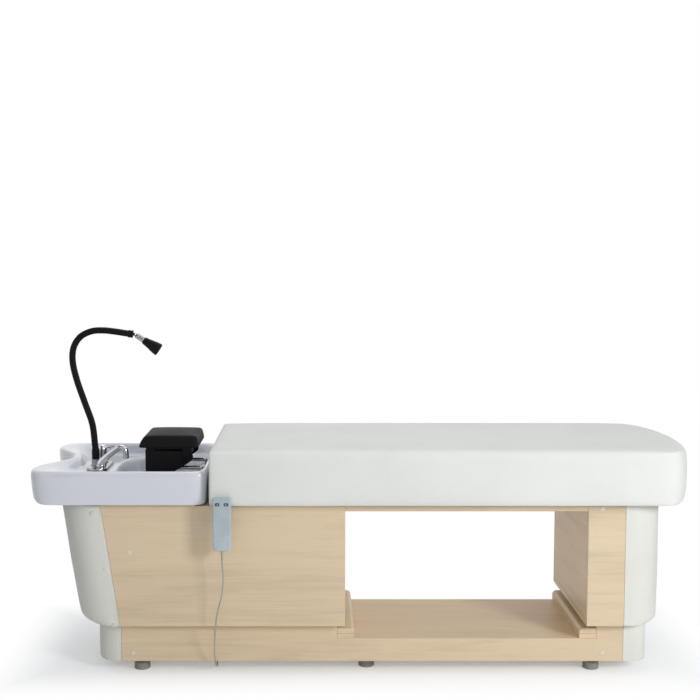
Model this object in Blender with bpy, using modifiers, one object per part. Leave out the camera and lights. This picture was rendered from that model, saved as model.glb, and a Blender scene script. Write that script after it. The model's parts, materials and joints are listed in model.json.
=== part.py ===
"""Head-spa massage bed: a padded bed on a wooden carcass, with a wash basin at its head end.

Lengths are in metres. The bed lies along X with the basin towards -X, and +Z is up.
Everything is laid out from the bay side of the head cabinet, the centre plane and the floor.
The empty "bed" then moves the whole bed, so that the origin lies under the middle of its box.
"""

import math

import bmesh
import bpy
from mathutils import Vector

# Clearances and edges
SEAT_GAP = 0.0003  # between two faces that rest on each other
RUN_GAP = 0.0006  # around what slides or turns
EDGE = 0.0015  # eased edge of a board
JOIN = 0.002  # how far joined shapes reach into each other

# Feet
FOOT_HEIGHT = 0.040
FOOT_RADIUS = 0.026
FOOT_PUCK = 0.026
FOOT_EDGE = 0.003
STUD_RADIUS = 0.005
STUD_ABOVE_FLOOR = 0.012  # stud end above the plinth floor
FOOT_SIDE = 0.157  # outer feet, from the centre plane
FOOT_SIDE_MIDDLE = 0.135
FOOT_HEAD_INSET = 0.0605
FOOT_FOOT_INSET = 0.0925

# Plinth
PLINTH_HEIGHT = 0.131
PLINTH_WIDTH = 0.418
PLINTH_HEAD_REACH = 0.0045  # past the cabinet
PLINTH_FOOT_REACH = 0.011  # past the upright
PLINTH_PAD_DEPTH = 0.088
PLINTH_PAD_ROUND = 0.072  # in plan
PLINTH_PAD_LOWER_ROUND = 0.015
SHELF_HEIGHT = 0.117  # shelf top above the floor
BAR_WIDTH = 0.056
BAR_HEIGHT = 0.033
BAR_CHAMFER = 0.012
BAR_HEAD_REACH = 0.032  # past the cabinet, into the bay
BAR_FOOT_REACH = 0.013  # past the upright, into the bay

# Carcass
BOARD = 0.018
CABINET_UNDERCUT = 0.0495  # foot of the leaning edge, from the bowl's head edge
BAY_LENGTH = 0.778
UPRIGHT_LENGTH = 0.120
CARCASS_HEIGHT = 0.394
HEAD_LEAN = math.radians(8.5)
HEAD_PAD_DEPTH = 0.152
FOOT_PAD_DEPTH = 0.138
HEAD_PAD_ROUND = 0.110  # in plan
HEAD_PAD_LOWER_ROUND = 0.040
FOOT_PAD_ROUND = 0.105  # in plan
FOOT_PAD_LOWER_ROUND = 0.042
PAD_TOP_GAP = 0.004  # end pads stay this far below the carcass top

# Mattress
MATTRESS_LENGTH = 1.566
MATTRESS_WIDTH = 0.610
MATTRESS_THICKNESS = 0.176
MATTRESS_WRAP = 0.0155  # foam and cover below the top of the board that they wrap
MATTRESS_HEAD_REACH = 0.431  # from the bay side of the cabinet
MATTRESS_CROWN = 0.003
MATTRESS_ROUND = 0.020
MATTRESS_LOWER_ROUND = 0.026
MATTRESS_FOOT_ROUND = 0.050
MATTRESS_FOOT_TOP_SETBACK = 0.012
MATTRESS_FOOT_LOWER_SETBACK = 0.022
MATTRESS_CORNER_ROUND = 0.055  # in plan, at the foot end
MATTRESS_DRAW_IN = 0.006
FOOT_BOW = 0.050

# Slide under the mattress
SLIDE_TRAVEL = 0.200
MATTRESS_BOARD = 0.011
MATTRESS_BOARD_INSET = 0.055
SLIDE_RAIL_SIDE = 0.170
SLIDE_RAIL_WIDTH = 0.036
SLIDE_RAIL_HEIGHT = 0.006
SLIDE_RAIL_LENGTH = 1.180
RUNNER_WALL = 0.005
ACTUATOR_DROP = 0.031  # rod axis below the deck
ACTUATOR_RADIUS = 0.019
ACTUATOR_BORE = 0.0112
ROD_RADIUS = 0.010
ROD_ENGAGED = 0.060  # rod still in the tube when fully out
MOTOR_LENGTH = 0.090
MOTOR_WIDTH = 0.070
MOTOR_HEIGHT = 0.110
MOTOR_EDGE = 0.006
ROD_SHOW = 0.020  # rod outside the tube at rest
NOTCH_CLEAR = 0.006  # around the tube where it passes the cabinet side
DRIVE_BRACKET = 0.008
DRIVE_WIDTH = 0.040
DRIVE_X = 0.060  # drive bracket at rest, from the bay side of the cabinet
SLOT_MARGIN = 0.010

# Basin
BASIN_LENGTH = 0.570
BASIN_WIDTH = 0.570
BASIN_HEIGHT = 0.107
BASIN_GAP = 0.009  # to the mattress
BASIN_OVERHANG = 0.0325  # past each side of the carcass
BASIN_WALL = 0.008
BASIN_DRAFT = 0.006
BASIN_SEAT_RISE = 0.0664  # basin seat above the carcass top
SCALLOP_DEPTH = 0.0875
SCALLOP_HALF = 0.205
RIM_ROUND = 0.010
LEDGE_DROP = 0.040  # below the rim
LEDGE_HEAD_RIM = 0.1255  # from the head end to the tap ledge
LEDGE_FOOT_RIM = 0.024
LEDGE_SIDE_RIM = 0.042
TAP_LEDGE = 0.110
FOOT_LEDGE = 0.033
SIDE_LEDGE = 0.018
UNDER_LEDGE_GROW = 0.003  # the ledge's underside, past its upper edge
LEDGE_FILLET = 0.008
BOWL_DEPTH = 0.140  # below the ledge
BOWL_LIP = 0.012  # depth of the bowl's rounded lip
BOWL_LIP_INSET = 0.008
BOWL_TURN = 0.045  # height at which the wall turns into the floor
BOWL_FLOOR_RISE = 0.010
DRAIN_RADIUS = 0.030

# Waste and supply, inside the cabinet
STRAINER_RADIUS = 0.036
STRAINER_THICKNESS = 0.003
TAIL_RADIUS = 0.022
TAIL_LENGTH = 0.090
HOSE_RADIUS = 0.018
SUPPLY_RADIUS = 0.006
WASTE_FROM_TAIL = (  # along, across and down from the tail pipe
    (0.0, 0.0, 0.0),
    (0.0, 0.0, 0.025),
    (0.0, 0.0, 0.050),
    (0.020, 0.040, 0.110),
)
WASTE_TO_FLOOR = ((0.030, 0.095, 0.060), (0.030, 0.095, 0.030), (0.030, 0.095, 0.0))  # the last is up
SUPPLY_FROM_TAP = (  # along, across and down from the tap's shank
    (0.0, 0.011, 0.0),
    (0.0, 0.011, 0.005),
    (0.0, 0.011, 0.010),
    (0.012, 0.011, 0.024),
    (0.036, 0.011, 0.033),
    (0.056, 0.011, 0.046),
    (0.064, 0.011, 0.078),
    (0.075, 0.022, 0.130),
    (0.120, 0.044, 0.210),
)
SUPPLY_TO_FLOOR = ((0.170, 0.077, 0.090), (0.170, 0.077, 0.040), (0.170, 0.077, 0.0))  # the last is up

# Mixer tap
TAP_SETBACK = 0.0555  # tap axis behind the bowl edge
TAP_PLATE_LENGTH = 0.176
TAP_PLATE_WIDTH = 0.070
TAP_PLATE_HEIGHT = 0.012
SHANK_RADIUS = 0.020
SHANK_LENGTH = 0.030
SPOUT_RADIUS = 0.0112
SPOUT_TIP_RADIUS = 0.0082
SPOUT_SIDE = -0.055
SPOUT_AHEAD = 0.012
SPOUT_ROUTE = (  # along and up from the spout's foot
    (0.0, 0.0),
    (0.0, 0.004),
    (0.0, 0.008),
    (0.0, 0.012),
    (0.010, 0.025),
    (0.034, 0.046),
    (0.056, 0.062),
    (0.072, 0.066),
    (0.083, 0.058),
    (0.086, 0.044),
    (0.086, 0.032),
)
MIXER_SIDE = 0.042
MIXER_RADIUS = 0.017
MIXER_HEIGHT = 0.040
DOME_RISE = 0.004  # dome's centre above the post
LEVER_RADIUS = 0.0034
LEVER_LENGTH = 0.052
LEVER_RISE = 0.006  # lever's root above the dome's centre
LEVER_BOW = 0.003

# Spray arm
ARM_SIDE = -0.010
ARM_BACK = 0.013
ARM_NUT_RADIUS = 0.0135
ARM_NUT_HEIGHT = 0.020
ARM_RADIUS = 0.0102
ARM_ROUTE = (  # along and up from the nut
    (0.0, 0.0),
    (0.0, 0.010),
    (0.0, 0.022),
    (-0.002, 0.050),
    (-0.010, 0.120),
    (-0.034, 0.192),
    (-0.060, 0.270),
    (-0.073, 0.332),
    (-0.069, 0.380),
    (-0.046, 0.416),
    (-0.008, 0.435),
    (0.032, 0.438),
    (0.072, 0.434),
    (0.104, 0.429),
    (0.132, 0.425),
)
ARM_COLLAR_RADIUS = 0.0130
ARM_COLLAR_LENGTH = 0.036
ARM_END_COLLAR_RADIUS = 0.0128
ARM_END_COLLAR_LENGTH = 0.016
SPRAY_BALL_RADIUS = 0.0062
SPRAY_NECK_RADIUS = 0.0085
SPRAY_NECK_LENGTH = 0.030
SPRAY_DROOP = math.radians(33.0)
SPRAY_LENGTH = 0.062
SPRAY_BACK_RADIUS = 0.0115
SPRAY_MOUTH_RADIUS = 0.0215
SPRAY_RECESS = 0.004

# Neck rest
REST_RAIL_SIDE = 0.076
REST_RAIL_RADIUS = 0.0055
REST_RAIL_RISE = 0.015  # rail axis above the ledge
REST_RAIL_LENGTH = 0.176
REST_RAIL_BEND = 0.0095
REST_RAIL_INSET = 0.010  # rail foot from the ledge's outer edge
BRACKET_HALF = 0.096
BRACKET_WALL = 0.008
BRACKET_LENGTH = 0.158
BRACKET_TO_MATTRESS = 0.072
BRACKET_BELOW_RAIL = 0.027
BRACKET_FLOOR = 0.013  # bracket floor above the rail axis
PIVOT_ABOVE_RAIL = 0.040
PIVOT_RADIUS = 0.0185
PIN_RADIUS = 0.004
CRADLE_WALL = 0.005
CRADLE_RISE = 0.0255  # cradle plate above the pivot
CRADLE_STRAP = 0.031
STOP_POST = 0.027
PILLOW_LENGTH = 0.199
PILLOW_WIDTH = 0.214
PILLOW_THICKNESS = 0.040
PILLOW_CROWN = 0.006
PILLOW_TAPER = 0.020
PILLOW_ROUND = 0.012
PILLOW_HEAD_REACH = 0.0215  # past the bracket

# Handset
HANDSET_WIDTH = 0.058
HANDSET_HEIGHT = 0.1755
HANDSET_DEPTH = 0.020
HANDSET_CHAMFER = 0.009
HANDSET_EDGE = 0.002
HANDSET_X = -0.389
HANDSET_OVERLAP = 0.0395  # handset top above the mattress bottom
BUTTON_WIDTH = 0.014
BUTTON_HEIGHT = 0.010
BUTTON_DEPTH = 0.004
BUTTON_PROUD = 0.0016
BUTTON_EDGE = 0.0008
BUTTON_SPREAD = 0.0138
BUTTON_BELOW_TOP = 0.026
BUTTON_POCKET = 0.0042
HANGER_WIDTH = 0.030
HANGER_STRIP = 0.003
HANGER_CLEAR = 0.002  # to the mattress side
HANGER_DROP = 0.018  # arm below the mattress
HANGER_LIP = 0.022
HANGER_FLANGE = 0.040
RELIEF_LENGTH = 0.030
RELIEF_RADIUS = 0.0048
CORD_RADIUS = 0.0025
GLAND_RADIUS = 0.008
GLAND_HEIGHT = 0.006

# Fineness of round pieces
ROUND_STEPS = 24
SMALL_ROUND_STEPS = 16
SPRAY_NECK_STEPS = 16
SPRAY_HEAD_STEPS = 20
BASIN_STATIONS = 72
SPOUT_POINTS = 22
LEVER_POINTS = 8
ARM_POINTS = 30
WASTE_POINTS = 18
SUPPLY_POINTS = 36
CORD_POINTS = 44

# Levels above the floor
PLINTH_TOP = FOOT_HEIGHT + PLINTH_HEIGHT
CARCASS_BOTTOM = PLINTH_TOP + SEAT_GAP
CARCASS_TOP = CARCASS_BOTTOM + CARCASS_HEIGHT
DECK_BOTTOM = CARCASS_TOP - BOARD
SLIDE_RAIL_TOP = CARCASS_TOP + SEAT_GAP + SLIDE_RAIL_HEIGHT
RUNNER_TOP = SLIDE_RAIL_TOP + SEAT_GAP + RUNNER_WALL
MATTRESS_BOARD_BOTTOM = RUNNER_TOP + SEAT_GAP
MATTRESS_SEAT = MATTRESS_BOARD_BOTTOM + MATTRESS_BOARD + SEAT_GAP
MATTRESS_BOTTOM = MATTRESS_SEAT - MATTRESS_WRAP
MATTRESS_TOP = MATTRESS_BOTTOM + MATTRESS_THICKNESS
BASIN_SEAT = CARCASS_TOP + BASIN_SEAT_RISE
LEDGE_TOP = BASIN_SEAT + SEAT_GAP + BASIN_WALL
RIM_TOP = LEDGE_TOP + LEDGE_DROP
BASIN_BOTTOM = RIM_TOP - BASIN_HEIGHT
BOWL_BOTTOM = LEDGE_TOP - BOWL_DEPTH

# Places along the bed
UPRIGHT_END = BAY_LENGTH + UPRIGHT_LENGTH
MATTRESS_HEAD = -MATTRESS_HEAD_REACH
MATTRESS_FOOT = MATTRESS_HEAD + MATTRESS_LENGTH
BASIN_FOOT = MATTRESS_HEAD - BASIN_GAP
BASIN_HEAD = BASIN_FOOT - BASIN_LENGTH
LEDGE_HEAD = BASIN_HEAD + LEDGE_HEAD_RIM
LEDGE_FOOT = BASIN_FOOT - LEDGE_FOOT_RIM
BOWL_HEAD = LEDGE_HEAD + TAP_LEDGE
BOWL_FOOT = LEDGE_FOOT - FOOT_LEDGE
BOWL_MIDDLE = (BOWL_HEAD + BOWL_FOOT) / 2
TAP_X = BOWL_HEAD - TAP_SETBACK
CABINET_HEAD = BOWL_HEAD + CABINET_UNDERCUT
PLINTH_HEAD = CABINET_HEAD - PLINTH_HEAD_REACH
PLINTH_FOOT = UPRIGHT_END + PLINTH_FOOT_REACH

# Places across the bed
PLINTH_HALF = PLINTH_WIDTH / 2
MATTRESS_HALF = MATTRESS_WIDTH / 2
BASIN_HALF = BASIN_WIDTH / 2
BODY_HALF = BASIN_HALF - BASIN_OVERHANG
LEDGE_HALF = BASIN_HALF - LEDGE_SIDE_RIM
BOWL_HALF = LEDGE_HALF - SIDE_LEDGE
INSIDE_BODY = BODY_HALF - BOARD - SEAT_GAP
INSIDE_PLINTH = PLINTH_HALF - BOARD - SEAT_GAP
HANGER_FRONT = -(MATTRESS_HALF + HANGER_CLEAR + HANGER_STRIP)
HANDSET_BACK = HANGER_FRONT - SEAT_GAP
HANDSET_FRONT = HANDSET_BACK - HANDSET_DEPTH
NEAR_REACH = BUTTON_PROUD - HANDSET_FRONT


def lean_x(height):
    """Place along the bed of the cabinet's leaning head edge, at a height above the floor."""
    return CABINET_HEAD - math.tan(HEAD_LEAN) * (height - CARCASS_BOTTOM)


# Scene, collections and carriers

for old in list(bpy.data.objects):
    bpy.data.objects.remove(old, do_unlink=True)

PARTS = bpy.data.collections.new("head_spa_bed")
CUTTERS = bpy.data.collections.new("cutters")
bpy.context.scene.collection.children.link(PARTS)
bpy.context.scene.collection.children.link(CUTTERS)


def carrier(name, place, parent=None):
    """An empty on a joint's axis; its pieces move with it."""
    empty = bpy.data.objects.new(name, None)
    PARTS.objects.link(empty)
    empty.empty_display_size = 0.05
    empty["pivot"] = place
    if parent is None:
        empty.location = (-(BASIN_HEAD + MATTRESS_FOOT) / 2, (NEAR_REACH - MATTRESS_HALF) / 2, 0.0)
    else:
        empty.parent = parent
        empty.location = Vector(place) - Vector(parent["pivot"])
    return empty


def finish(name, colour, roughness, metallic=0.0):
    """A plain material for one sub-part."""
    made = bpy.data.materials.new(name)
    made.use_nodes = True
    shader = made.node_tree.nodes["Principled BSDF"]
    shader.inputs["Base Color"].default_value = (*colour, 1.0)
    shader.inputs["Roughness"].default_value = roughness
    shader.inputs["Metallic"].default_value = metallic
    return made


BED = carrier("bed", (0.0, 0.0, 0.0))

MAPLE = (0.80, 0.64, 0.42)
IVORY = (0.86, 0.86, 0.82)
BLACK = (0.012, 0.012, 0.013)
CHROME = (0.80, 0.81, 0.82)
STEEL = (0.55, 0.56, 0.57)
GLAZE = (0.83, 0.85, 0.88)
GREY_BLUE = (0.42, 0.48, 0.54)
DARK_GREY = (0.10, 0.10, 0.11)
PALE_GREY = (0.60, 0.60, 0.60)


# Building blocks


def add_part(name, data, place, colour, owner=BED, roughness=0.5, metallic=0.0):
    """Put a mesh or curve in the bed, at a place given in the bed's own layout."""
    part = bpy.data.objects.new(name, data)
    PARTS.objects.link(part)
    part.parent = owner
    part.location = Vector(place) - Vector(owner["pivot"])
    data.materials.append(finish(name, colour, roughness, metallic))
    return part


def add_cutter(name, data, part):
    """A hidden shape for a Boolean on a part, in the part's own frame."""
    cutter = bpy.data.objects.new(name, data)
    CUTTERS.objects.link(cutter)
    cutter.parent = part
    cutter.hide_render = True
    cutter.display_type = "WIRE"
    return cutter


def combine(part, data, place, operation, turn=(0.0, 0.0, 0.0)):
    """Cut a shape from a part, or join one to it; the place is in the bed's own layout."""
    cutter = add_cutter(part.name + "_" + operation.lower(), data, part)
    cutter.location = Vector(place) - part.location - Vector(part.parent["pivot"])
    cutter.rotation_euler = turn
    modifier = part.modifiers.new(operation.title(), "BOOLEAN")
    modifier.operation = operation
    modifier.object = cutter
    return cutter


def box_mesh(size):
    """A box centred on its own origin."""
    shape = bmesh.new()
    bmesh.ops.create_cube(shape, size=1.0)
    bmesh.ops.scale(shape, vec=size, verts=shape.verts)
    return to_mesh(shape)


def cylinder_mesh(radius, length, end_radius=None, steps=ROUND_STEPS):
    """A cylinder or cone along Z, centred on its own origin; end_radius is at the top."""
    shape = bmesh.new()
    top = radius if end_radius is None else end_radius
    bmesh.ops.create_cone(shape, cap_ends=True, segments=steps, radius1=radius, radius2=top, depth=length)
    return to_mesh(shape)


def to_mesh(shape):
    """The finished mesh of a bmesh, shaded smooth with sharp corners."""
    mesh = bpy.data.meshes.new("shape")
    bmesh.ops.recalc_face_normals(shape, faces=shape.faces)
    shape.to_mesh(mesh)
    shape.free()
    mesh.shade_smooth()
    mesh.set_sharp_from_angle(angle=math.radians(35.0))
    return mesh


def ease_edges(part, width):
    """A small flat chamfer on every sharp edge."""
    modifier = part.modifiers.new("Eased edges", "BEVEL")
    modifier.width = width
    modifier.segments = 1
    modifier.limit_method = "ANGLE"


def board(name, low, high, colour, owner=BED, ease=EDGE, roughness=0.45):
    """A rectangular board between two corners."""
    size = Vector(high) - Vector(low)
    part = add_part(name, box_mesh(size), (Vector(high) + Vector(low)) / 2, colour, owner, roughness)
    if ease:
        ease_edges(part, ease)
    return part


def outline_curve(points, thickness, ease=0.0):
    """A flat outline with a thickness, as a filled 2D curve; ease chamfers its rims."""
    curve = bpy.data.curves.new("outline", "CURVE")
    curve.dimensions = "2D"
    curve.fill_mode = "BOTH"
    curve.extrude = thickness / 2 - ease
    curve.bevel_depth = ease
    curve.bevel_resolution = 0
    curve.offset = -ease
    spline = curve.splines.new("POLY")
    spline.points.add(len(points) - 1)
    for point, (across, up) in zip(spline.points, points):
        point.co = (across, up, 0.0, 1.0)
    spline.use_cyclic_u = True
    return curve


FACING_Y = (math.pi / 2, 0.0, 0.0)  # an outline's points are (x, z)
FACING_X = (math.pi / 2, 0.0, math.pi / 2)  # an outline's points are (y, z)


def plate(name, points, thickness, middle, turn, colour, owner=BED, ease=EDGE, metallic=0.0):
    """A flat piece cut to an outline; middle is its place along its own thickness."""
    place = (0.0, middle, 0.0) if turn == FACING_Y else (middle, 0.0, 0.0)
    part = add_part(name, outline_curve(points, thickness, ease), place, colour, owner, 0.45, metallic)
    part.rotation_euler = turn
    return part


def as_mesh(part):
    """Replace a curve part by its welded mesh, so that it can take Booleans."""
    bpy.context.view_layer.update()
    evaluated = part.evaluated_get(bpy.context.evaluated_depsgraph_get())
    mesh = bpy.data.meshes.new_from_object(evaluated)
    shape = bmesh.new()
    shape.from_mesh(mesh)
    shape.transform(part.rotation_euler.to_matrix().to_4x4())
    bmesh.ops.remove_doubles(shape, verts=shape.verts, dist=0.00001)
    welded = to_mesh(shape)
    name, owner, place = part.name, part.parent, part.location + Vector(part.parent["pivot"])
    material = part.data.materials[0]
    bpy.data.objects.remove(part, do_unlink=True)
    solid = bpy.data.objects.new(name, welded)
    PARTS.objects.link(solid)
    solid.parent = owner
    solid.location = place - Vector(owner["pivot"])
    welded.materials.append(material)
    return solid


def profile_mesh(profile):
    """The edge of a shape turned about Z; the profile holds (radius, height) from top to bottom."""
    mesh = bpy.data.meshes.new("profile")
    points = [(radius, 0.0, height) for radius, height in profile]
    edges = [(i, i + 1) for i in range(len(points) - 1)]
    mesh.from_pydata(points, edges, [])
    return mesh


def turned(name, profile, place, colour, owner=BED, steps=ROUND_STEPS, turn=None, metallic=0.0):
    """A turned part standing at a place."""
    part = add_part(name, profile_mesh(profile), place, colour, owner, 0.2, metallic)
    screw = part.modifiers.new("Turn", "SCREW")
    screw.axis = "Z"
    screw.steps = steps
    screw.render_steps = steps
    screw.use_merge_vertices = True
    screw.merge_threshold = 0.00001
    screw.use_smooth_shade = True
    if turn is not None:
        part.rotation_euler = turn
    return part


def smooth_route(points, count):
    """Even points on a smooth curve through a route; its end stretches keep the route's own directions."""
    knots = [Vector(point) for point in points]
    first = knots[0] * 2 - knots[1]
    last = knots[-1] * 2 - knots[-2]
    knots = [first, *knots, last]
    fine = []
    for before, start, end, after in zip(knots, knots[1:], knots[2:], knots[3:]):
        for step in range(24):
            t = step / 24
            bend = (before * -1 + start * 3 - end * 3 + after) * t**3
            pull = (before * 2 - start * 5 + end * 4 - after) * t**2
            fine.append((start * 2 + (end - before) * t + pull + bend) / 2)
    fine.append(knots[-2])
    along = [0.0]
    for here, there in zip(fine, fine[1:]):
        along.append(along[-1] + (there - here).length)
    even = []
    index = 0
    for step in range(count):
        wanted = along[-1] * step / (count - 1)
        while index < len(fine) - 2 and along[index + 1] < wanted:
            index += 1
        share = (wanted - along[index]) / (along[index + 1] - along[index])
        even.append(fine[index].lerp(fine[index + 1], min(share, 1.0)))
    step = along[-1] / (count - 1)
    even[1] = even[0] + (knots[2] - knots[1]).normalized() * step
    even[-2] = even[-1] + (knots[-3] - knots[-2]).normalized() * step
    return even


def tube(name, points, radius, colour, owner=BED, radii=None, fineness=2, roughness=0.4, metallic=0.0):
    """A round tube along points; radii gives each point's share of the radius."""
    curve = bpy.data.curves.new(name, "CURVE")
    curve.dimensions = "3D"
    curve.bevel_depth = radius
    curve.bevel_resolution = fineness
    curve.use_fill_caps = True
    spline = curve.splines.new("POLY")
    spline.points.add(len(points) - 1)
    for index, (point, place) in enumerate(zip(spline.points, points)):
        point.co = (*place, 1.0)
        point.radius = 1.0 if radii is None else radii[index]
    return add_part(name, curve, (0.0, 0.0, 0.0), colour, owner, roughness, metallic)


def spaced(low, high, low_edge, high_edge, count):
    """Loop places on one side of a cage: one near each end and the rest evenly between."""
    start, end = low + low_edge, high - high_edge
    return [start + (end - start) * step / (count - 1) for step in range(count)]


def cushion(name, low, high, loops, shape_point, owner=BED, colour=IVORY, sharp_edge=None, roughness=0.5):
    """A soft form: a box cage with loop cuts, moved by shape_point and subdivided once."""
    cage = bmesh.new()
    bmesh.ops.create_cube(cage, size=1.0)
    bmesh.ops.scale(cage, vec=Vector(high) - Vector(low), verts=cage.verts)
    bmesh.ops.translate(cage, vec=(Vector(high) + Vector(low)) / 2, verts=cage.verts)
    for axis, places in enumerate(loops):
        normal = [0.0, 0.0, 0.0]
        normal[axis] = 1.0
        for place in places:
            everything = cage.verts[:] + cage.edges[:] + cage.faces[:]
            bmesh.ops.bisect_plane(cage, geom=everything, plane_co=Vector(normal) * place, plane_no=normal)
    if sharp_edge is not None:
        crease = cage.edges.layers.float.new("crease_edge")
        for edge in cage.edges:
            if sharp_edge(edge.verts[0].co) and sharp_edge(edge.verts[1].co):
                edge[crease] = 1.0
    for vertex in cage.verts:
        vertex.co = shape_point(vertex.co.copy())
    part = add_part(name, to_mesh(cage), (0.0, 0.0, 0.0), colour, owner, roughness)
    smooth = part.modifiers.new("Soft form", "SUBSURF")
    smooth.levels = 1
    smooth.render_levels = 1
    return part


# Plinth


def make_plinth():
    """Two stepped boards, a floor, the open shelf, two cross bars and the padded ends."""
    low_start = -(BAR_WIDTH - BAR_HEAD_REACH)
    low_end = BAY_LENGTH - BAR_FOOT_REACH + BAR_WIDTH
    low_top = SHELF_HEIGHT - SEAT_GAP
    side = [
        (PLINTH_HEAD, FOOT_HEIGHT),
        (PLINTH_FOOT, FOOT_HEIGHT),
        (PLINTH_FOOT, PLINTH_TOP),
        (low_end + SEAT_GAP, PLINTH_TOP),
        (low_end + SEAT_GAP, low_top),
        (low_start - SEAT_GAP, low_top),
        (low_start - SEAT_GAP, PLINTH_TOP),
        (PLINTH_HEAD, PLINTH_TOP),
    ]
    middle = PLINTH_HALF - BOARD / 2
    plate("plinth_front", side, BOARD, -middle, FACING_Y, MAPLE)
    plate("plinth_rear", side, BOARD, middle, FACING_Y, MAPLE)
    floor = board(
        "plinth_floor",
        (PLINTH_HEAD, -INSIDE_PLINTH, FOOT_HEIGHT),
        (PLINTH_FOOT, INSIDE_PLINTH, FOOT_HEIGHT + BOARD),
        MAPLE,
        ease=0.0,
    )
    board(
        "shelf",
        (low_start, -INSIDE_PLINTH, SHELF_HEIGHT - SEAT_GAP - BOARD),
        (low_end, INSIDE_PLINTH, low_top),
        MAPLE,
        ease=0.0,
    )
    make_bar("cross_bar_head", low_start, BAR_HEAD_REACH, 1)
    make_bar("cross_bar_foot", low_end, BAY_LENGTH - BAR_FOOT_REACH, -1)
    plinth_pad("plinth_head_pad", PLINTH_HEAD - SEAT_GAP, -1)
    plinth_pad("plinth_foot_pad", PLINTH_FOOT + SEAT_GAP, 1)
    return floor


def make_bar(name, outer, inner, way):
    """A cross bar standing on the shelf, with its bay-side top edge chamfered."""
    top = SHELF_HEIGHT + BAR_HEIGHT
    section = [
        (outer, SHELF_HEIGHT),
        (inner, SHELF_HEIGHT),
        (inner, top - BAR_CHAMFER),
        (inner - way * BAR_CHAMFER, top),
        (outer, top),
    ]
    if way < 0:
        section.reverse()
    plate(name, section, PLINTH_WIDTH, 0.0, FACING_Y, MAPLE)


def plinth_pad(name, seam, way):
    """A padded end of the plinth, rounded in plan."""
    end = seam + way * PLINTH_PAD_DEPTH
    low = (min(seam, end), -PLINTH_HALF, FOOT_HEIGHT)
    high = (max(seam, end), PLINTH_HALF, PLINTH_TOP - SEAT_GAP)
    rounded_end(name, low, high, way, PLINTH_PAD_ROUND, PLINTH_PAD_LOWER_ROUND, 0.0)


def setback(distance, rounding):
    """How far a rounded edge stands back, at a distance from the side that it rounds into."""
    inside = min(max(rounding - distance, 0.0), rounding)
    return rounding - math.sqrt(rounding**2 - inside**2)


def rounded_end(name, low, high, way, plan_round, lower_round, lean):
    """An upholstered end piece: flat at its seam, rounded in plan and at its lower end edge."""
    seam = low[0] if way > 0 else high[0]
    depth = high[0] - low[0]
    half = high[1]
    along = [seam + way * depth * share for share in (0.45, 0.85)]
    sides = [half - plan_round * share for share in (0.12, 0.45, 1.0)]
    across = [-place for place in sides] + sides
    upward = [low[2] + lower_round * share for share in (0.2, 0.55, 1.0)] + [high[2] - 0.012]

    def shape_point(point):
        out = (point.x - seam) / (way * depth)
        plan = setback(half - abs(point.y), plan_round)
        lower = setback(point.z - low[2], lower_round)
        reach = depth - plan - lower + plan * lower / depth
        point.x = seam + way * out * reach - lean * (point.z - low[2])
        return point

    def at_seam(point):
        return abs(point.x - seam) < 1e-6

    cushion(name, low, high, (along, across, upward), shape_point, sharp_edge=at_seam)


def make_feet(floor):
    """Six levelling feet; each stud turns in a hole of the plinth floor."""
    head_x = PLINTH_HEAD + FOOT_HEAD_INSET
    foot_x = PLINTH_FOOT - FOOT_FOOT_INSET
    stud_top = FOOT_HEIGHT + BOARD + STUD_ABOVE_FLOOR
    profile = [
        (0.0, stud_top),
        (STUD_RADIUS, stud_top),
        (STUD_RADIUS, FOOT_HEIGHT - SEAT_GAP),
        (2 * STUD_RADIUS, FOOT_HEIGHT - SEAT_GAP),
        (2 * STUD_RADIUS, FOOT_PUCK),
        (FOOT_RADIUS - FOOT_EDGE, FOOT_PUCK),
        (FOOT_RADIUS, FOOT_PUCK - FOOT_EDGE),
        (FOOT_RADIUS, FOOT_EDGE),
        (FOOT_RADIUS - FOOT_EDGE, 0.0),
        (0.0, 0.0),
    ]
    rows = (
        ("head", head_x, FOOT_SIDE),
        ("middle", (head_x + foot_x) / 2, FOOT_SIDE_MIDDLE),
        ("foot", foot_x, FOOT_SIDE),
    )
    for label, x, side in rows:
        for hand, y in (("near", -side), ("far", side)):
            name = "leveller_" + label + "_" + hand
            owner = carrier("axis_" + name, (x, y, 0.0), BED)
            turned(name, profile, (x, y, 0.0), DARK_GREY, owner)
            hole = cylinder_mesh(STUD_RADIUS + RUN_GAP, 3 * BOARD)
            combine(floor, hole, (x, y, FOOT_HEIGHT), "DIFFERENCE")


# Carcass


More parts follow.
